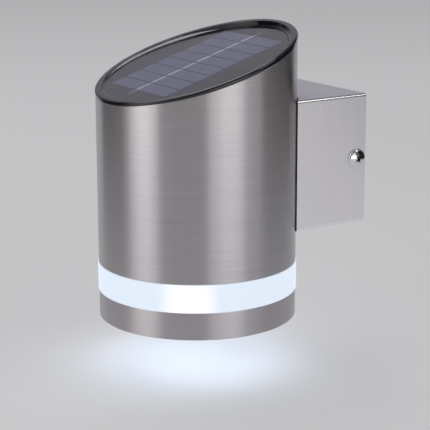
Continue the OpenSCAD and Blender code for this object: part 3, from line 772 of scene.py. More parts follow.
class Palette:
    """Every finish of the lamp, built once."""

    def __init__(self) -> None:
        """Builds the materials."""
        self.tube = BrushedSteel(
            "steel_around", (0.56, 0.54, 0.565), (0.585, 0.545, 0.56), Grain.AROUND,
            roughness=0.34, anisotropy=0.93, contrast=0.42, highlight=Highlight.ROUND_AXIS).make()
        self.bracket = BrushedSteel(
            "steel_upright", (0.9, 0.88, 0.91), (0.92, 0.895, 0.915), Grain.UPRIGHT,
            roughness=0.38, anisotropy=0.5, contrast=0.24, highlight=Highlight.ALONG_MAP).make()
        self.fold = BrushedSteel(
            "worn_fold", (0.93, 0.91, 0.94), (0.95, 0.925, 0.945), Grain.UPRIGHT,
            roughness=0.21, anisotropy=0.0, contrast=0.12).make()
        self.zinc = BrushedSteel(
            "zinc_sheet", (0.55, 0.55, 0.56), (0.58, 0.57, 0.53), Grain.ACROSS,
            roughness=0.38, anisotropy=0.0, contrast=0.12).make()
        self.trim = Moulded("gloss_trim", (0.008, 0.008, 0.0115), roughness=0.2, scale=400.0,
                            contrast=0.1, depth=0.002 * MM, coat=1.0, gloss=0.3).make()
        self.plastic = Moulded("black_moulding", (0.022, 0.022, 0.024), roughness=0.45).make()
        self.rubber = Moulded("black_rubber", (0.012, 0.012, 0.012), roughness=0.6).make()
        self.window = ClearWindow().make()
        self.ground = Moulded("ground_bevel", (0.5, 0.49, 0.55), roughness=0.35, scale=1500.0,
                              contrast=0.1).make()
        self.silicon = CellSilicon().make()
        # Pale bead's colour: a painted highlight along the trim's inner edge
        self.highlight_bead = Moulded("bead_painted_highlight", (0.88, 0.84, 0.95), roughness=0.25, scale=900.0,
                               contrast=0.1, coat=0.5).make()
        self.silver = PlainMetal("tinned_line", (0.95, 0.94, 0.95), roughness=0.45).make()
        self.finger = PlainMetal("printed_line", (0.5, 0.52, 0.6), roughness=0.5).make()
        self.panel = Moulded("panel_board", (0.038, 0.028, 0.035), roughness=0.5, scale=500.0,
                             contrast=0.3, gloss=0.1).make()
        self.lens = LitLens().make()
        self.chrome = PlainMetal("bright_chrome", (0.78, 0.78, 0.8), roughness=0.12,
                                 contrast=0.05).make()
        # Dark finish for the screws' cross recess: painted shade
        self.recess = Moulded("recess_painted_shade", (0.035, 0.028, 0.026), roughness=0.6, scale=1500.0,
                              contrast=0.4).make()
        self.spacer = PlainMetal("cut_tube", (0.66, 0.66, 0.68), roughness=0.3).make()
        self.light_board = Moulded("white_board", (0.78, 0.79, 0.77), roughness=0.4).make()
        self.chip = Moulded("phosphor", (0.85, 0.72, 0.25), roughness=0.4).make()
        self.sheet = Moulded("white_sheet", (0.85, 0.85, 0.85), roughness=0.55).make()
        self.wrap = Moulded("green_wrap", (0.05, 0.26, 0.12), roughness=0.3, scale=200.0,
                            contrast=0.1, coat=0.4).make()
        self.contact = PlainMetal("nickel_contact", (0.75, 0.73, 0.68), roughness=0.25).make()
        self.green = Moulded("green_board", (0.015, 0.13, 0.06), roughness=0.35, scale=1500.0,
                             contrast=0.3, coat=0.2).make()
        self.chip_case = Moulded("chip_case", (0.018, 0.018, 0.019), roughness=0.5).make()
        self.ferrite = Moulded("ferrite", (0.07, 0.07, 0.075), roughness=0.6, scale=1800.0,
                               contrast=0.4).make()
        self.sleeve = Moulded("capacitor_sleeve", (0.02, 0.045, 0.17), roughness=0.3, scale=200.0,
                              contrast=0.1).make()
        self.ivory = Moulded("ivory_socket", (0.74, 0.71, 0.62), roughness=0.45).make()
        self.tin = PlainMetal("tinned_case", (0.6, 0.6, 0.62), roughness=0.3).make()
        self.white = Moulded("white_knob", (0.72, 0.73, 0.73), roughness=0.4).make()
        self.red = Moulded("red_insulation", (0.5, 0.025, 0.02), roughness=0.45).make()
        self.grey = Moulded("grey_insulation", (0.45, 0.45, 0.43), roughness=0.5).make()
        self.flag = Moulded("black_flag", (0.02, 0.02, 0.02), roughness=0.9).make()

    def dress_cad(self) -> None:
        """Gives each CAD node that still shows its finish."""
        wear = {
            self.rubber: ("rim_seal", "cup_seal", "saddle_gasket"),
            self.plastic: ("panel_tray", "chassis", "battery_holder", "battery_cover",
                           "switch_shroud"),
            self.panel: ("panel_board",),
            self.chrome: ("tie_screws", "cover_screws", "board_screws"),
            self.zinc: ("wall_plate", "saddle_plate", "saddle_bolts", "saddle_nuts",
                        "flange_nuts"),
            self.spacer: ("spacer_tubes",),
            self.light_board: ("led_board",),
            self.chip: ("led_chips",),
            self.sheet: ("reflector",),
            self.wrap: ("battery_cell",),
            self.contact: ("battery_spring", "battery_contact"),
            self.green: ("control_board",),
            self.chip_case: ("driver_chip",),
            self.ferrite: ("storage_coil",),
            self.sleeve: ("capacitor",),
            self.ivory: ("wire_sockets",),
            self.tin: ("switch_body",),
            self.red: ("panel_leads", "battery_leads", "led_leads"),
            self.grey: ("switch_leads",),
        }
        for material, nodes in wear.items():
            for node in nodes:
                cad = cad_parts[node]
                cad.data.materials.clear()
                cad.data.materials.append(material)
                LOG.info("dressed %s in %s", node, material.name)


PALETTE = Palette()


@dataclass
class SubAssembly:
    """A set of pieces that ride on one body."""

    body: str = LAMP
    sharp_deg: float = 35.0

    def place(self, piece: Object, material: bpy.types.Material, slot: str,
              stands_for: tuple[str, ...] = (), sharp_deg: float | None = None) -> None:
        """Shades and dresses a piece and hands it to its body.

        Args:
            piece: The finished object.
            material: Its finish.
            slot: The record's material slot; not used.
            stands_for: CAD nodes that it replaces.
            sharp_deg: Edges that turn more than this stay hard, if not the usual angle.
        """
        finish_shading(piece, sharp_deg or self.sharp_deg)
        piece.data.materials.append(material)
        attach(piece, self.body)
        if stands_for:
            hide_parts(*stands_for)
        LOG.info("%s: %d faces", piece.name, len(piece.data.polygons))


@dataclass
class SteelShell(SubAssembly):
    """The slanted tube and the base ring."""

    wall: float = 1.0 * MM
    edge: float = 0.22 * MM
    low_edge: float = 0.3 * MM
    foot_edge: float = 0.35 * MM
    lip: float = 2.5 * MM
    lip_t: float = 1.0 * MM
    lip_edge: float = 0.2 * MM
    bolt_r: float = 2.25 * MM
    bolt_pitch: float = 34.0 * MM
    steps: int = 288

    @property
    def inner(self) -> float:
        """Radius inside the wall."""
        return SHAPE.shell_r - self.wall

    def tube(self) -> None:
        """Tube with its slanted top edge and the two bolt holes behind."""
        outer, low, top = SHAPE.shell_r, SHAPE.shell_bottom, SHAPE.rise
        profile = rounded([(self.inner, low, 0), (outer, low, self.low_edge),
                           (outer, top, self.edge), (self.inner, top, self.edge)])
        bm = to_axis(revolve(profile, self.steps))
        middle = (low + top) / 2
        move(bm, SHAPE.leaning(), [v for v in bm.verts if v.co.z > middle])
        piece = as_object("steel_tube", bm)
        holes = []
        for side in (-1, 1):
            drill = rod(self.bolt_r, 0, 2 * SHAPE.shell_r)
            there = Matrix.Translation((0, SHAPE.axis_y, side * self.bolt_pitch / 2))
            holes.append(move(drill, there @ Matrix.Rotation(-TURN / 4, 4, "X")))
        carve(piece, holes)
        self.place(piece, PALETTE.tube, "brushed_tube", ("body_tube",))

    def base(self) -> None:
        """Base ring with the lip that the lens stands on."""
        outer, low, top = SHAPE.shell_r, SHAPE.base_bottom, SHAPE.band_bottom
        shelf, reach = low + self.lip_t, self.inner - self.lip
        profile = rounded([(outer, low, self.foot_edge), (outer, top, self.low_edge),
                           (self.inner, top, 0), (self.inner, shelf, 0),
                           (reach, shelf, self.lip_edge), (reach, low, self.lip_edge)])
        piece = as_object("steel_base_ring", to_axis(revolve(profile, self.steps)))
        self.place(piece, PALETTE.tube, "brushed_tube", ("base_ring",))

    def build(self) -> None:
        """Makes both pieces."""
        self.tube()
        self.base()


@dataclass
class PanelHead(SubAssembly):
    """Oval trim, clear cover, bead of painted highlight, cells, their printed lines, silver ribbon.
    """

    trim_w: float = 3.2 * MM
    trim_h: float = 1.7 * MM
    trim_lean: float = 0.43
    trim_lip: float = 0.2 * MM
    trim_edge: Point = (1.3 * MM, 1.105 * MM)
    trim_bore: float = 0.25 * MM
    window_r: float = 41.9 * MM
    window_t: float = 1.0 * MM
    window_lift: float = 0.8 * MM
    window_edge: float = 0.1 * MM
    window_bevel: Point = (0.55 * MM, 0.4 * MM)
    bevel_knee: Point = (0.35, 0.3)
    rows: int = 8
    row_pitch: float = 8.13 * MM
    row_gap: float = 0.7 * MM
    cells_w: float = 46.0 * MM
    cells_shift: float = 0.6 * MM
    cell_t: float = 0.3 * MM
    cell_edge: float = 0.05 * MM
    fingers: int = 6
    finger_w: float = 0.27 * MM
    finger_t: float = 0.03 * MM
    line_t: float = 0.15 * MM
    line_w: float = 1.25 * MM
    line_tail: float = 4.8 * MM
    wire_share: float = 0.6
    tail_w: float = 0.45 * MM
    tail_gap: float = 0.05 * MM
    tip_from: float = 1.0 * MM
    tip_share: float = 0.35
    bead: Point = (0.75 * MM, 0.7 * MM)
    bead_middle: float = math.radians(176)
    bead_span: float = math.radians(48)
    bead_least: float = 0.1
    steps: int = 256

    @property
    def cell_bottom(self) -> float:
        """Height of the cells' underside above the rim's plane, measured upright."""
        return self.window_lift - self.window_t - self.line_t - self.cell_t

    @property
    def cell_top(self) -> float:
        """Thickness of the cells, square to the slope."""
        return self.cell_t * math.cos(SHAPE.slant)

    @property
    def row_l(self) -> float:
        """Length of one row along the slope."""
        return self.row_pitch - self.row_gap

    @property
    def array_l(self) -> float:
        """Length of all the rows along the slope."""
        return self.rows * self.row_pitch - self.row_gap

    @property
    def trim_inner(self) -> float:
        """Radius of the trim's inner edge."""
        return SHAPE.shell_r + self.trim_lip - self.trim_w

    def row_middles(self) -> list[float]:
        """Place of each row's middle along the slope."""
        first = self.cells_shift - (self.array_l - self.row_l) / 2
        return [first + row * self.row_pitch for row in range(self.rows)]

    def trim(self) -> None:
        """Gloss trim ring: a flat land with a rounded outer edge, taller towards the wall."""
        outer = SHAPE.shell_r + self.trim_lip
        wide, tall = self.trim_edge
        arc = [(outer - wide * (1 - math.cos(a)), self.trim_h - tall * (1 - math.sin(a)))
               for a in quarter(steps=16)]
        land = rounded([(outer - wide, self.trim_h, 0),
                        (self.trim_inner, self.trim_h, self.trim_bore), (self.trim_inner, 0, 0)],
                       steps=6)
        bm = revolve([(outer, 0), *arc, *land[1:]], self.steps)
        for vert in bm.verts:
            vert.co.z *= 1 + self.trim_lean * vert.co.y / vert.co.xy.length
        move(bm, Matrix.Translation((0, 0, SHAPE.rise + SHAPE.seal)))
        piece = as_object("oval_trim", move(to_axis(bm), SHAPE.leaning()))
        self.place(piece, PALETTE.trim, "gloss_black", ("top_bezel",))

    def window(self) -> None:
        """Clear cover with a ground bevel round its top."""
        low = SHAPE.rise + self.window_lift - self.window_t
        high = SHAPE.rise + self.window_lift
        edge = self.window_edge
        wide, tall = self.window_bevel
        knee = (self.window_r - wide * self.bevel_knee[0], high - tall * self.bevel_knee[1])
        profile = [(0, low), (self.window_r - edge, low), (self.window_r, low + edge),
                   (self.window_r, high - tall), knee, (self.window_r - wide, high), (0, high)]
        bm = revolve(profile, closed=False)
        for face in bm.faces:
            middle = face.calc_center_median()
            ground = middle.xy.length > self.window_r - wide and middle.z > high - tall
            face.material_index = 1 if ground else 0
        piece = as_object("clear_cover", move(to_axis(bm), SHAPE.leaning()))
        self.place(piece, PALETTE.window, "clear_window", ("panel_window",))
        piece.data.materials.append(PALETTE.ground)

    def bead_share(self, turn: float) -> float:
        """Share of its full size that the bead has at an angle from its middle.

        Args:
            turn: The angle.

        Returns:
            The share, which is never less than bead_least.
        """
        thin = math.cos(self.bead_span)
        full = math.cos(self.bead_span / 2)
        return min(max((math.cos(turn) - thin) / (full - thin), self.bead_least), 1.0)

    def highlight_bead(self) -> None:
        """Pale bead where cover meets trim, thickest on the -X side: a painted highlight."""
        wide, tall = self.bead
        corner = self.trim_inner
        low = SHAPE.rise + self.window_lift - self.window_bevel[1]
        high = SHAPE.rise + self.window_lift
        hollow = [(corner - wide * (1 - math.sin(a)), high + tall * (1 - math.cos(a)))
                  for a in quarter(steps=6)]
        bm = revolve([(corner, low), *hollow], self.steps)
        for vert in bm.verts:
            # Thick where the painted highlight shows, thin elsewhere
            share = self.bead_share(math.atan2(vert.co.y, vert.co.x) - self.bead_middle)
            radius = vert.co.xy.length
            vert.co.xy *= (corner - (corner - radius) * share) / radius
            vert.co.z = low + (vert.co.z - low) * share
        piece = as_object("pale_bead_painted_highlight", move(to_axis(bm), SHAPE.leaning()))
        self.place(piece, PALETTE.highlight_bead, "clear_window")

    def cells(self) -> None:
        """Rows of cells with finely bevelled edges."""
        rows = [block((self.cells_w, self.row_l, self.cell_top), (0, middle, self.cell_top / 2),
                      self.cell_edge, segments=1) for middle in self.row_middles()]
        piece = as_object("cell_rows", move(merged(rows), SHAPE.on_slope(self.cell_bottom)))
        self.place(piece, PALETTE.silicon, "solar_blue", ("solar_cells",))

    def finger_lines(self) -> None:
        """Fine printed lines that run across each row."""
        size = (self.cells_w - 2 * self.finger_w, self.finger_w, self.finger_t)
        lines = []
        for middle in self.row_middles():
            for k in range(self.fingers):
                along = middle + ((k + 0.5) / self.fingers - 0.5) * self.row_l
                lines.append(block(size, (0, along, self.cell_top + self.finger_t / 2)))
        piece = as_object("cell_fingers", move(merged(lines), SHAPE.on_slope(self.cell_bottom)))
        self.place(piece, PALETTE.finger, "silver_line")

    def silver_line(self) -> None:
        """Tinned ribbon down the middle: a pad on each row, a thin wire between, tapered tails."""
        line_t = self.line_t * math.cos(SHAPE.slant)
        wire_t = line_t * self.wire_share
        wire = block((self.tail_w, self.array_l, wire_t),
                     (0, self.cells_shift, self.cell_top + wire_t / 2))
        piece = as_object("tinned_ribbon", wire)
        pads = [block((self.line_w, self.row_l - self.row_gap, line_t),
                      (0, middle, self.cell_top + line_t / 2), self.cell_edge)
                for middle in self.row_middles()]
        carve(piece, pads, Cut.JOIN)
        tails = []
        tail_h = self.cell_top + wire_t
        for side in (-1, 1):
            end = side * (self.array_l / 2 + self.line_tail / 2 + self.tail_gap)
            tail = block((self.tail_w, self.line_tail, tail_h),
                         (0, self.cells_shift + end, tail_h / 2))
            tip = [v for v in tail.verts
                   if (v.co.y - self.cells_shift) * side > self.array_l / 2 + self.tip_from]
            tails.append(move(tail, Matrix.Diagonal((self.tip_share, 1, 1, 1)), tip))
        carve(piece, [merged(tails)], Cut.JOIN)
        piece.data.transform(SHAPE.on_slope(self.cell_bottom))
        self.place(piece, PALETTE.silver, "silver_line", ("cell_busbar",))

    def build(self) -> None:
        """Makes the head's pieces."""
        self.trim()
        self.window()
        self.highlight_bead()
        self.cells()
        self.finger_lines()
        self.silver_line()


@dataclass
class LensCup(SubAssembly):
    """Frosted cup: the lit band, its floor, the screw pillars and the switch opening."""

    band_proud: float = 0.35 * MM
    band_edge: float = 0.25 * MM
    cup_r: float = 43.8 * MM
    bore_r: float = 41.4 * MM
    floor_low: float = 1.0 * MM
    floor_t: float = 2.5 * MM
    spigot_h: float = 4.0 * MM
    spigot_edge: float = 0.2 * MM
    seal_h: float = 1.4 * MM
    groove_r: float = 43.0 * MM
    pillar_r: float = 5.0 * MM
    pillar_ring: float = 34.0 * MM
    pillar_angles: Triple = (30.0, 150.0, 270.0)
    hole_r: float = 2.25 * MM
    pocket_r: float = 3.7 * MM
    pocket_h: float = 5.5 * MM
    opening: Point = (16.8 * MM, 11.2 * MM)
    opening_back: float = 24.0 * MM
    opening_cut: float = 8.0 * MM
    steps: int = 288

    def shell(self, under: float, floor: float, spigot: float) -> Mesh:
        """The cup's wall and floor, before its pillars and holes.

        Args:
            under: Height of its underside.
            floor: Height of its floor inside.
            spigot: Height of its top edge.

        Returns:
            The mesh.
        """
        band_r = SHAPE.shell_r + self.band_proud
        low, top = SHAPE.band_bottom, SHAPE.shell_bottom
        seal = top + (self.spigot_h - self.seal_h) / 2
        profile = rounded([
            (0, under, 0), (self.cup_r, under, 0), (self.cup_r, low, 0),
            (band_r, low, self.band_edge), (band_r, top, self.band_edge), (self.cup_r, top, 0),
            (self.cup_r, seal, 0), (self.groove_r, seal, 0),
            (self.groove_r, seal + self.seal_h, 0), (self.cup_r, seal + self.seal_h, 0),
            (self.cup_r, spigot, self.spigot_edge), (self.bore_r, spigot, 0),
            (self.bore_r, floor, 0), (0, floor, 0)])
        return to_axis(revolve(profile, self.steps, closed=False))

    def build(self) -> None:
        """Makes the cup."""
        under = SHAPE.base_bottom + self.floor_low
        floor = under + self.floor_t
        spigot = SHAPE.shell_bottom + self.spigot_h
        piece = as_object("frosted_cup", self.shell(under, floor, spigot))
        pillars, holes = [], []
        for degrees in self.pillar_angles:
            turn = math.radians(degrees)
            there = Matrix.Translation((self.pillar_ring * math.cos(turn),
                                        SHAPE.axis_y + self.pillar_ring * math.sin(turn), 0))
            pillars.append(move(rod(self.pillar_r, floor - PAST, spigot), there))
            holes.append(move(rod(self.hole_r, under - PAST, spigot + PAST), there))
            holes.append(move(rod(self.pocket_r, under - PAST, under + self.pocket_h), there))
        carve(piece, [merged(pillars)], Cut.JOIN)
        holes.append(block((*self.opening, self.opening_cut),
                           (0, SHAPE.axis_y + self.opening_back, under)))
        carve(piece, holes)
        self.place(piece, PALETTE.lens, "frosted_lens", ("lens_cup",))


@dataclass
class Bracket(SubAssembly):
    """Box that stands the lamp off the wall, and the screw in each of its sides."""

    half: float = 30.0 * MM
    wall: float = 1.2 * MM
    edge_r: float = 1.4 * MM
    rear_gap: float = 0.5 * MM
    rear_edge: float = 0.18 * MM
    rear_turn: float = 1.0
    gasket: float = 0.6 * MM
    fold_least: float = 0.05
    columns: int = 24
    screw_out: float = 6.0 * MM
    screw_r: float = 2.0 * MM
    screw_gap: float = 0.25 * MM
    screw_l: float = 7.7 * MM
    screw_tip: float = 0.4 * MM
    screw_sharp_deg: float = 30.0
    screw_steps: int = 96
    collar_r: float = 4.8 * MM
    collar_h: float = 0.8 * MM
    collar_edge: float = 0.35 * MM
    head_r: float = 4.2 * MM
    head_h: float = 1.55 * MM
    crown_r: float = 8.0 * MM
    crown_steps: int = 10
    shoulder: float = 0.4 * MM
    recess_turn: float = math.radians(30)
    recess_span: float = 4.5 * MM
    recess_w: float = 0.9 * MM
    recess_depth: float = 1.3 * MM
    recess_taper: Point = (0.55, 0.7)
    recess_least: float = 0.02 * MM
    heart_r: Point = (0.35 * MM, 1.0 * MM)
    heart_h: float = 1.6 * MM
    heart_drop: float = 0.55 * MM

    def folded(self, depth: float, middle: float) -> Mesh:
        """Sheet folded to a square tube along Y, in columns that can follow the lamp's curve.

        Args:
            depth: Its length.
            middle: Where its middle lies along Y.

        Returns:
            The mesh, with its wall's thickness.
        """
        bm = block((2 * self.half, depth, 2 * self.half), (0, middle, 0))
        ends = [f for f in bm.faces if abs(f.normal.y) > 0.5]
        bmesh.ops.delete(bm, geom=ends, context="FACES_ONLY")
        folds = [e for e in bm.edges if abs(e.verts[0].co.y - e.verts[1].co.y) > depth / 2]
        bevel(bm, folds, self.edge_r, segments=6)
        for k in range(1, self.columns):
            across = self.half * (2 * k / self.columns - 1)
            bmesh.ops.bisect_plane(bm, geom=bm.verts[:] + bm.edges[:] + bm.faces[:], dist=NEAR,
                                   plane_co=(across, 0, 0), plane_no=(1, 0, 0))
        bmesh.ops.recalc_face_normals(bm, faces=bm.faces)
        bmesh.ops.solidify(bm, geom=bm.faces[:], thickness=self.wall)
        bmesh.ops.recalc_face_normals(bm, faces=bm.faces)
        return bm

    def box(self) -> None:
        """Folded box with its front end cut to the tube and its rear rim eased."""
        depth = -SHAPE.axis_y - self.rear_gap
        middle = SHAPE.axis_y + depth / 2
        bm = self.folded(depth, middle)
        saddle_r = SHAPE.shell_r + self.gasket
        for vert in bm.verts:
            if vert.co.y < middle:
                vert.co.y = SHAPE.axis_y + math.sqrt(saddle_r ** 2 - vert.co.x ** 2)
        rim = [e for e in bm.edges if all(abs(v.co.y + self.rear_gap) < NEAR for v in e.verts)
               and abs(e.calc_face_angle(0.0)) > self.rear_turn]
        bevel(bm, rim, self.rear_edge, segments=2)
        piece = as_object("bracket_shell", bm)
        drill = rod(self.screw_r + self.screw_gap, -2 * self.half, 2 * self.half)
        through = Matrix.Translation((0, -self.screw_out, 0)) @ Matrix.Rotation(TURN / 4, 4, "Y")
        carve(piece, [move(drill, through)])
        self.lay_grain(piece)
        self.wear_folds(piece)
        self.place(piece, PALETTE.bracket, "bracket_steel", ("bracket_box",))
        piece.data.materials.append(PALETTE.fold)

    def lay_grain(self, piece: Object) -> None:
        """UV map whose first direction runs along the grain: up the sides and across the top.

        Args:
            piece: The box.
        """
        layer = piece.data.uv_layers.new(name=GRAIN_MAP)
        for face in piece.data.polygons:
            upright = abs(face.normal.x) > abs(face.normal.z)
            for loop in face.loop_indices:
                spot = piece.data.vertices[piece.data.loops[loop].vertex_index].co
                layer.data[loop].uv = (spot.z if upright else spot.x, spot.y)

    def wear_folds(self, piece: Object) -> None:
        """Gives the rounded long edges the second finish.

        Args:
            piece: The box.
        """
        for face in piece.data.polygons:
            slanted = min(abs(face.normal.x), abs(face.normal.z)) > self.fold_least
            face.material_index = 1 if slanted else 0

    def screw_blank(self, top: float) -> Mesh:
        """Domed screw on a collar, without its recess, pointing along +Z from its seat.

        Args:
            top: Height of its head's top.

        Returns:
            The mesh.
        """
        widest = math.asin(self.head_r / self.crown_r)
        crown = [(self.crown_r * math.sin(a), top - self.crown_r * (1 - math.cos(a)), 0)
                 for a in (widest * (1 - k / self.crown_steps)
                           for k in range(self.crown_steps + 1))]
        outline = rounded([
            (0, -self.screw_l, 0), (self.screw_r, -self.screw_l, self.screw_tip),
            (self.screw_r, 0, 0), (self.collar_r, 0, 0),
            (self.collar_r, self.collar_h, self.collar_edge), (self.head_r, self.collar_h, 0),
            (*crown[0][:2], self.shoulder), *crown[1:]], steps=5)
        return revolve(outline, self.screw_steps, closed=False)

    def screw(self) -> Object:
        """Domed screw with a cross recess, whose faces have the second finish: painted shade.

        Returns:
            The object, pointing along +Z from its seat.
        """
        top = self.collar_h + self.head_h
        piece = as_object("side_screw", self.screw_blank(top))
        cutters = []
        arm_h = self.recess_depth + PAST
        for turn in (0, TURN / 4):
            arm = block((self.recess_span, self.recess_w, arm_h),
                        (0, 0, top - self.recess_depth + arm_h / 2))
            deep = [v for v in arm.verts if v.co.z < top]
            move(arm, Matrix.Diagonal((*self.recess_taper, 1, 1)), deep)
            cutters.append(move(arm, Matrix.Rotation(self.recess_turn + turn, 4, "Z")))
        heart = bmesh.new()
        bmesh.ops.create_cone(heart, cap_ends=True, segments=24, radius1=self.heart_r[0],
                              radius2=self.heart_r[1], depth=self.heart_h,
                              matrix=Matrix.Translation((0, 0, top - self.heart_drop)))
        carve(piece, cutters + [heart])
        # Faces deep in the recess take the dark finish, which is painted shade
        for face in piece.data.polygons:
            below = self.crown_r - (face.center - Vector((0, 0, top - self.crown_r))).length
            cut = face.center.xy.length < self.recess_span / 2 and face.center.z > self.collar_h
            face.material_index = 1 if cut and below > self.recess_least else 0
        return piece

    def screws(self) -> None:
        """One screw in each side of the box."""
        halves = []
        for side in (-1, 1):
            piece = self.screw()
            bm = bmesh.new()
            bm.from_mesh(piece.data)
            bpy.data.objects.remove(piece)
            move(bm, Matrix.Rotation(TURN / 4, 4, "Y"))
            if side < 0:
                move(bm, Matrix.Diagonal((-1, 1, 1, 1)))
                bmesh.ops.reverse_faces(bm, faces=bm.faces)
            halves.append(move(bm, Matrix.Translation((side * self.half, -self.screw_out, 0))))
        piece = as_object("domed_screws", merged(halves))
        self.place(piece, PALETTE.chrome, "bright_screw", ("side_screws",), self.screw_sharp_deg)
        # Second finish: painted shade in the cross recess
        piece.data.materials.append(PALETTE.recess)

    def build(self) -> None:
        """Makes the bracket's pieces."""
        self.box()
        self.screws()


@dataclass
class SwitchKnob(SubAssembly):
    """Slide knob with grip ribs, on its own body."""

    body: str = KNOB
    rib_count: int = 3
    rib_w: float = 0.35 * MM
    rib_depth: float = 0.3 * MM
    foot_h: float = 1.5 * MM
    foot_edge: float = 0.12 * MM
    stem: Point = (4.0 * MM, 3.8 * MM)
    stem_edge: float = 0.25 * MM
    overlap: float = 0.5 * MM

    def build(self) -> None:
        """Makes the knob from the box of its CAD node."""
        low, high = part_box("switch_knob")
        middle = node_middle("switch_knob")
        foot_low = high.z - self.foot_h
        foot = block((high.x - low.x, high.y - low.y, self.foot_h),
                     (middle.x, middle.y, foot_low + self.foot_h / 2), self.foot_edge)
        piece = as_object("slide_knob", foot)
        stem_h = foot_low - low.z + self.overlap
        stem = block((*self.stem, stem_h), (middle.x, middle.y, low.z + stem_h / 2),
                     self.stem_edge)
        carve(piece, [stem], Cut.JOIN)
        pitch = self.stem[0] / (self.rib_count + 1)
        grooves = [block((self.rib_w, 2 * self.stem[1], 2 * self.rib_depth),
                         (middle.x + (k - (self.rib_count - 1) / 2) * pitch, middle.y, low.z))
                   for k in range(self.rib_count)]
        carve(piece, grooves)
        self.place(piece, PALETTE.white, "knob_white", ("switch_knob",))


@dataclass(frozen=True)
class SoftBox:
    """One soft light that faces the lamp.

    Its angle is in degrees to the right of the camera, seen from the lamp. Its height is where
    its middle lies along Z, and a glow of 1 is white.
    """

    name: str
    angle: float
    height: float
    wide: float
    tall: float
    glow: float
    reach: float = 1.0


@dataclass(frozen=True)
class Flag:
    """Black flag that stands on the floor beside the lamp, from one angle to another.

    Its angles are taken as a soft box's, and top is where its upper edge lies along Z.
    """

    name: str
    from_angle: float
    to_angle: float
    top: float
    reach: float = 0.6


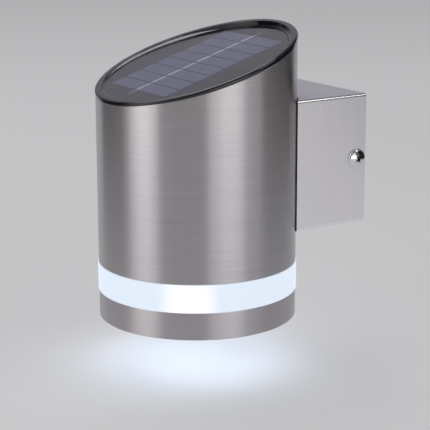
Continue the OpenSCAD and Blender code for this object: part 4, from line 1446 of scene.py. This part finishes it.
@dataclass
class Studio:
    """Camera, floor, surroundings, soft lights and flags."""

    azimuth: float = math.radians(57.56)
    elevation: float = math.radians(11.91)
    roll: float = math.radians(-0.16)
    distance: float = 0.681775
    look_aside: float = 8.173 * MM
    look_up: float = -22.577 * MM
    fit_drop: float = -0.28 * MM
    focal_px: float = 1507.17
    frame_px: float = 430.0
    sensor_mm: float = 36.0
    clip: Point = (0.05, 50.0)
    floor_gap: float = 24.0 * MM
    floor_colour: Triple = (0.86, 0.86, 0.88)
    floor_white: float = 0.3
    floor_half: float = 12.0
    pool_glow: float = 0.6
    pool_colour: Triple = (0.7, 0.82, 1.0)
    pool_drop: float = 0.5 * MM
    wall_low: Triple = (0.05, 0.05, 0.06)
    wall_high: Triple = (0.34, 0.33, 0.38)
    wall_rise: Point = (0.04, 0.3)
    wall_spread: Point = (0.7, 0.95)
    room_side: Triple = (0.15, 0.147, 0.16)
    room_near: Triple = (0.11, 0.108, 0.11)
    room_spread: Point = (-0.15, -0.95)
    flags: tuple[Flag, ...] = (
        Flag("right_flag", from_angle=76, to_angle=140, top=0.35),
        Flag("left_flag", from_angle=-130, to_angle=-86, top=0.6),
    )
    lights: tuple[SoftBox, ...] = (
        SoftBox("front_low_box", angle=-61, height=0.12, wide=0.65, tall=0.28, glow=1.74),
        SoftBox("front_core_box", angle=-60, height=0.12, wide=0.32, tall=0.28, glow=1.08),
        SoftBox("front_high_box", angle=-61, height=0.45, wide=0.65, tall=0.38, glow=0.8),
        SoftBox("side_low_box", angle=33.5, height=0.12, wide=0.74, tall=0.28, glow=1.64),
        SoftBox("side_core_box", angle=36, height=0.12, wide=0.36, tall=0.28, glow=0.9),
        SoftBox("side_high_box", angle=33.5, height=0.45, wide=0.74, tall=0.38, glow=0.6),
        SoftBox("edge_low_box", angle=54, height=0.12, wide=0.25, tall=0.28, glow=0.3),
        SoftBox("right_high_box", angle=78, height=0.9, wide=0.45, tall=0.4, glow=2.3),
        SoftBox("top_box", angle=-150, height=1.2, wide=1.0, tall=1.0, glow=1.5, reach=0.6),
    )

    def axes(self) -> tuple[Vector, Vector, Vector]:
        """Directions of the fitted camera.

        Returns:
            Unit vectors from the lamp to the camera, to its right and up.
        """
        back = Vector((math.sin(self.azimuth) * math.cos(self.elevation),
                       -math.cos(self.azimuth) * math.cos(self.elevation),
                       math.sin(self.elevation)))
        right = Vector((math.cos(self.azimuth), math.sin(self.azimuth), 0))
        return back, right, back.cross(right)

    def round_lamp(self, degrees: float, reach: float, height: float) -> Vector:
        """Point beside the lamp.

        Args:
            degrees: Angle to the right of the camera, seen from the lamp.
            reach: Level distance from the lamp's axis.
            height: Height of the point.

        Returns:
            The point.
        """
        back, right, _ = self.axes()
        level = Vector((back.x, back.y, 0)).normalized()
        turn = math.radians(degrees)
        way = level * math.cos(turn) + right * math.sin(turn)
        return Vector((0, SHAPE.axis_y, height)) + way * reach

    def camera(self) -> None:
        """Camera at the photograph's viewing angle, with no shift."""
        back, right, up = self.axes()
        foot = Vector((0, SHAPE.axis_y, self.fit_drop))
        place = foot + back * self.distance
        aim = foot + right * self.look_aside + up * self.look_up
        data = bpy.data.cameras.new("photo_camera")
        data.sensor_width = self.sensor_mm
        data.lens = self.focal_px * self.sensor_mm / self.frame_px
        data.clip_start, data.clip_end = self.clip
        view = linked("photo_camera", data)
        look = (aim - place).normalized()
        side = look.cross(Vector((0, 0, 1))).normalized()
        top = side.cross(look)
        turned_side = side * math.cos(self.roll) + top * math.sin(self.roll)
        turned_top = top * math.cos(self.roll) - side * math.sin(self.roll)
        matrix = Matrix((turned_side, turned_top, -look)).transposed().to_4x4()
        matrix.translation = place
        view.matrix_world = matrix
        bpy.context.scene.camera = view

    def softbox(self, box: SoftBox) -> None:
        """Sets up one soft light.

        Args:
            box: The light.
        """
        data = bpy.data.lights.new(box.name, "AREA")
        data.shape = "RECTANGLE"
        data.size, data.size_y = box.wide, box.tall
        data.energy = box.glow * math.pi * box.wide * box.tall
        light = linked(box.name, data)
        light.location = self.round_lamp(box.angle, box.reach, box.height)
        face = Vector((0, SHAPE.axis_y, 0)) - light.location
        light.rotation_mode = "QUATERNION"
        light.rotation_quaternion = face.to_track_quat("-Z", "Y")
        light.visible_camera = False

    def pool(self) -> None:
        """The lamp's own light on the floor below it."""
        data = bpy.data.lights.new("pool_light", "AREA")
        data.shape = "DISK"
        data.size = 2 * SHAPE.bore_r
        data.energy = self.pool_glow * math.pi * math.pi * SHAPE.bore_r ** 2
        data.color = self.pool_colour
        light = linked("pool_light", data)
        light.location = (0, SHAPE.axis_y, SHAPE.base_bottom - self.pool_drop)
        light.visible_camera = False

    def stand(self, flag: Flag) -> None:
        """Stands a flag on the floor, unseen by the camera.

        Args:
            flag: The flag.
        """
        bm = bmesh.new()
        edges = []
        for degrees in (flag.from_angle, flag.to_angle):
            foot = self.round_lamp(degrees, flag.reach, SHAPE.base_bottom - self.floor_gap)
            ends = [bm.verts.new(foot), bm.verts.new((foot.x, foot.y, flag.top))]
            edges.append(bm.edges.new(ends))
        bmesh.ops.bridge_loops(bm, edges=edges)
        piece = as_object(flag.name, bm)
        piece.data.materials.append(PALETTE.flag)
        piece.visible_camera = False

    def floor_finish(self) -> bpy.types.Material:
        """Pale matt floor from above, clear from below.

        Returns:
            The material.
        """
        finish = Finish("pale_floor")
        mottle = finish.mottled(self.floor_colour, scale=40.0, contrast=0.02)
        finish.put(Base_Color=mottle["Colour"], Roughness=0.8, Specular_IOR_Level=0.2)
        nodes = finish.nodes
        path = nodes.add("ShaderNodeLightPath").outputs
        seen = nodes.maths("MAXIMUM", path["Is Camera Ray"], path["Is Glossy Ray"])
        seen = nodes.maths("MAXIMUM", seen, path["Is Transmission Ray"])
        white = nodes.add("ShaderNodeEmission", {"Color": rgba((1, 1, 1)), "Strength": 1.0})
        pale = nodes.add("ShaderNodeMixShader", {0: nodes.maths("MULTIPLY", seen, self.floor_white),
                                                 1: finish.surface.outputs[0],
                                                 2: white.outputs[0]})
        clear = nodes.add("ShaderNodeBsdfTransparent")
        below = nodes.add("ShaderNodeNewGeometry").outputs["Backfacing"]
        mix = nodes.add("ShaderNodeMixShader", {0: below, 1: pale.outputs[0], 2: clear.outputs[0]})
        output = finish.material.node_tree.nodes["Material Output"]
        nodes.feed(output, "Surface", mix.outputs[0])
        return finish.material

    def floor(self) -> None:
        """Pale floor just under the lamp, seen from above only."""
        bm = bmesh.new()
        bmesh.ops.create_grid(bm, x_segments=1, y_segments=1, size=self.floor_half)
        move(bm, Matrix.Translation((0, SHAPE.axis_y, SHAPE.base_bottom - self.floor_gap)))
        piece = as_object("floor", bm)
        piece.data.materials.append(self.floor_finish())

    def surroundings(self) -> None:
        """Studio walls: paler high behind the lamp, dimmer round the camera."""
        world = bpy.data.worlds.new("studio")
        bpy.context.scene.world = world
        world.use_nodes = True
        nodes = Nodes(world.node_tree)
        back, _, _ = self.axes()
        way = nodes.add("ShaderNodeTexCoord").outputs["Generated"]
        far = Vector((-back.x, -back.y, 0)).normalized()
        toward = nodes.add("ShaderNodeVectorMath", {0: way, 1: far},
                           operation="DOT_PRODUCT").outputs["Value"]
        height = nodes.add("ShaderNodeSeparateXYZ", {0: way}).outputs[2]
        upper = nodes.remap(height, self.wall_rise, smooth=True)
        behind = nodes.blend(upper, rgba(self.wall_low), rgba(self.wall_high))
        near = nodes.remap(toward, self.room_spread, smooth=True)
        room = nodes.blend(near, rgba(self.room_side), rgba(self.room_near))
        colour = nodes.blend(nodes.remap(toward, self.wall_spread, smooth=True), room, behind)
        nodes.feed(world.node_tree.nodes["Background"], "Color", colour)

    def build(self) -> None:
        """Sets the whole studio."""
        self.camera()
        self.floor()
        self.surroundings()
        self.pool()
        for flag in self.flags:
            self.stand(flag)
        for box in self.lights:
            self.softbox(box)


def main() -> None:
    """Builds the lamp and its studio, piece by piece."""
    logging.basicConfig(level=logging.INFO, format="%(message)s")
    bpy.context.scene.view_settings.view_transform = "Standard"
    Studio().build()
    for part in (SteelShell(), PanelHead(), LensCup(), Bracket(), SwitchKnob()):
        part.build()
    PALETTE.dress_cad()


if __name__ == "__main__":
    main()
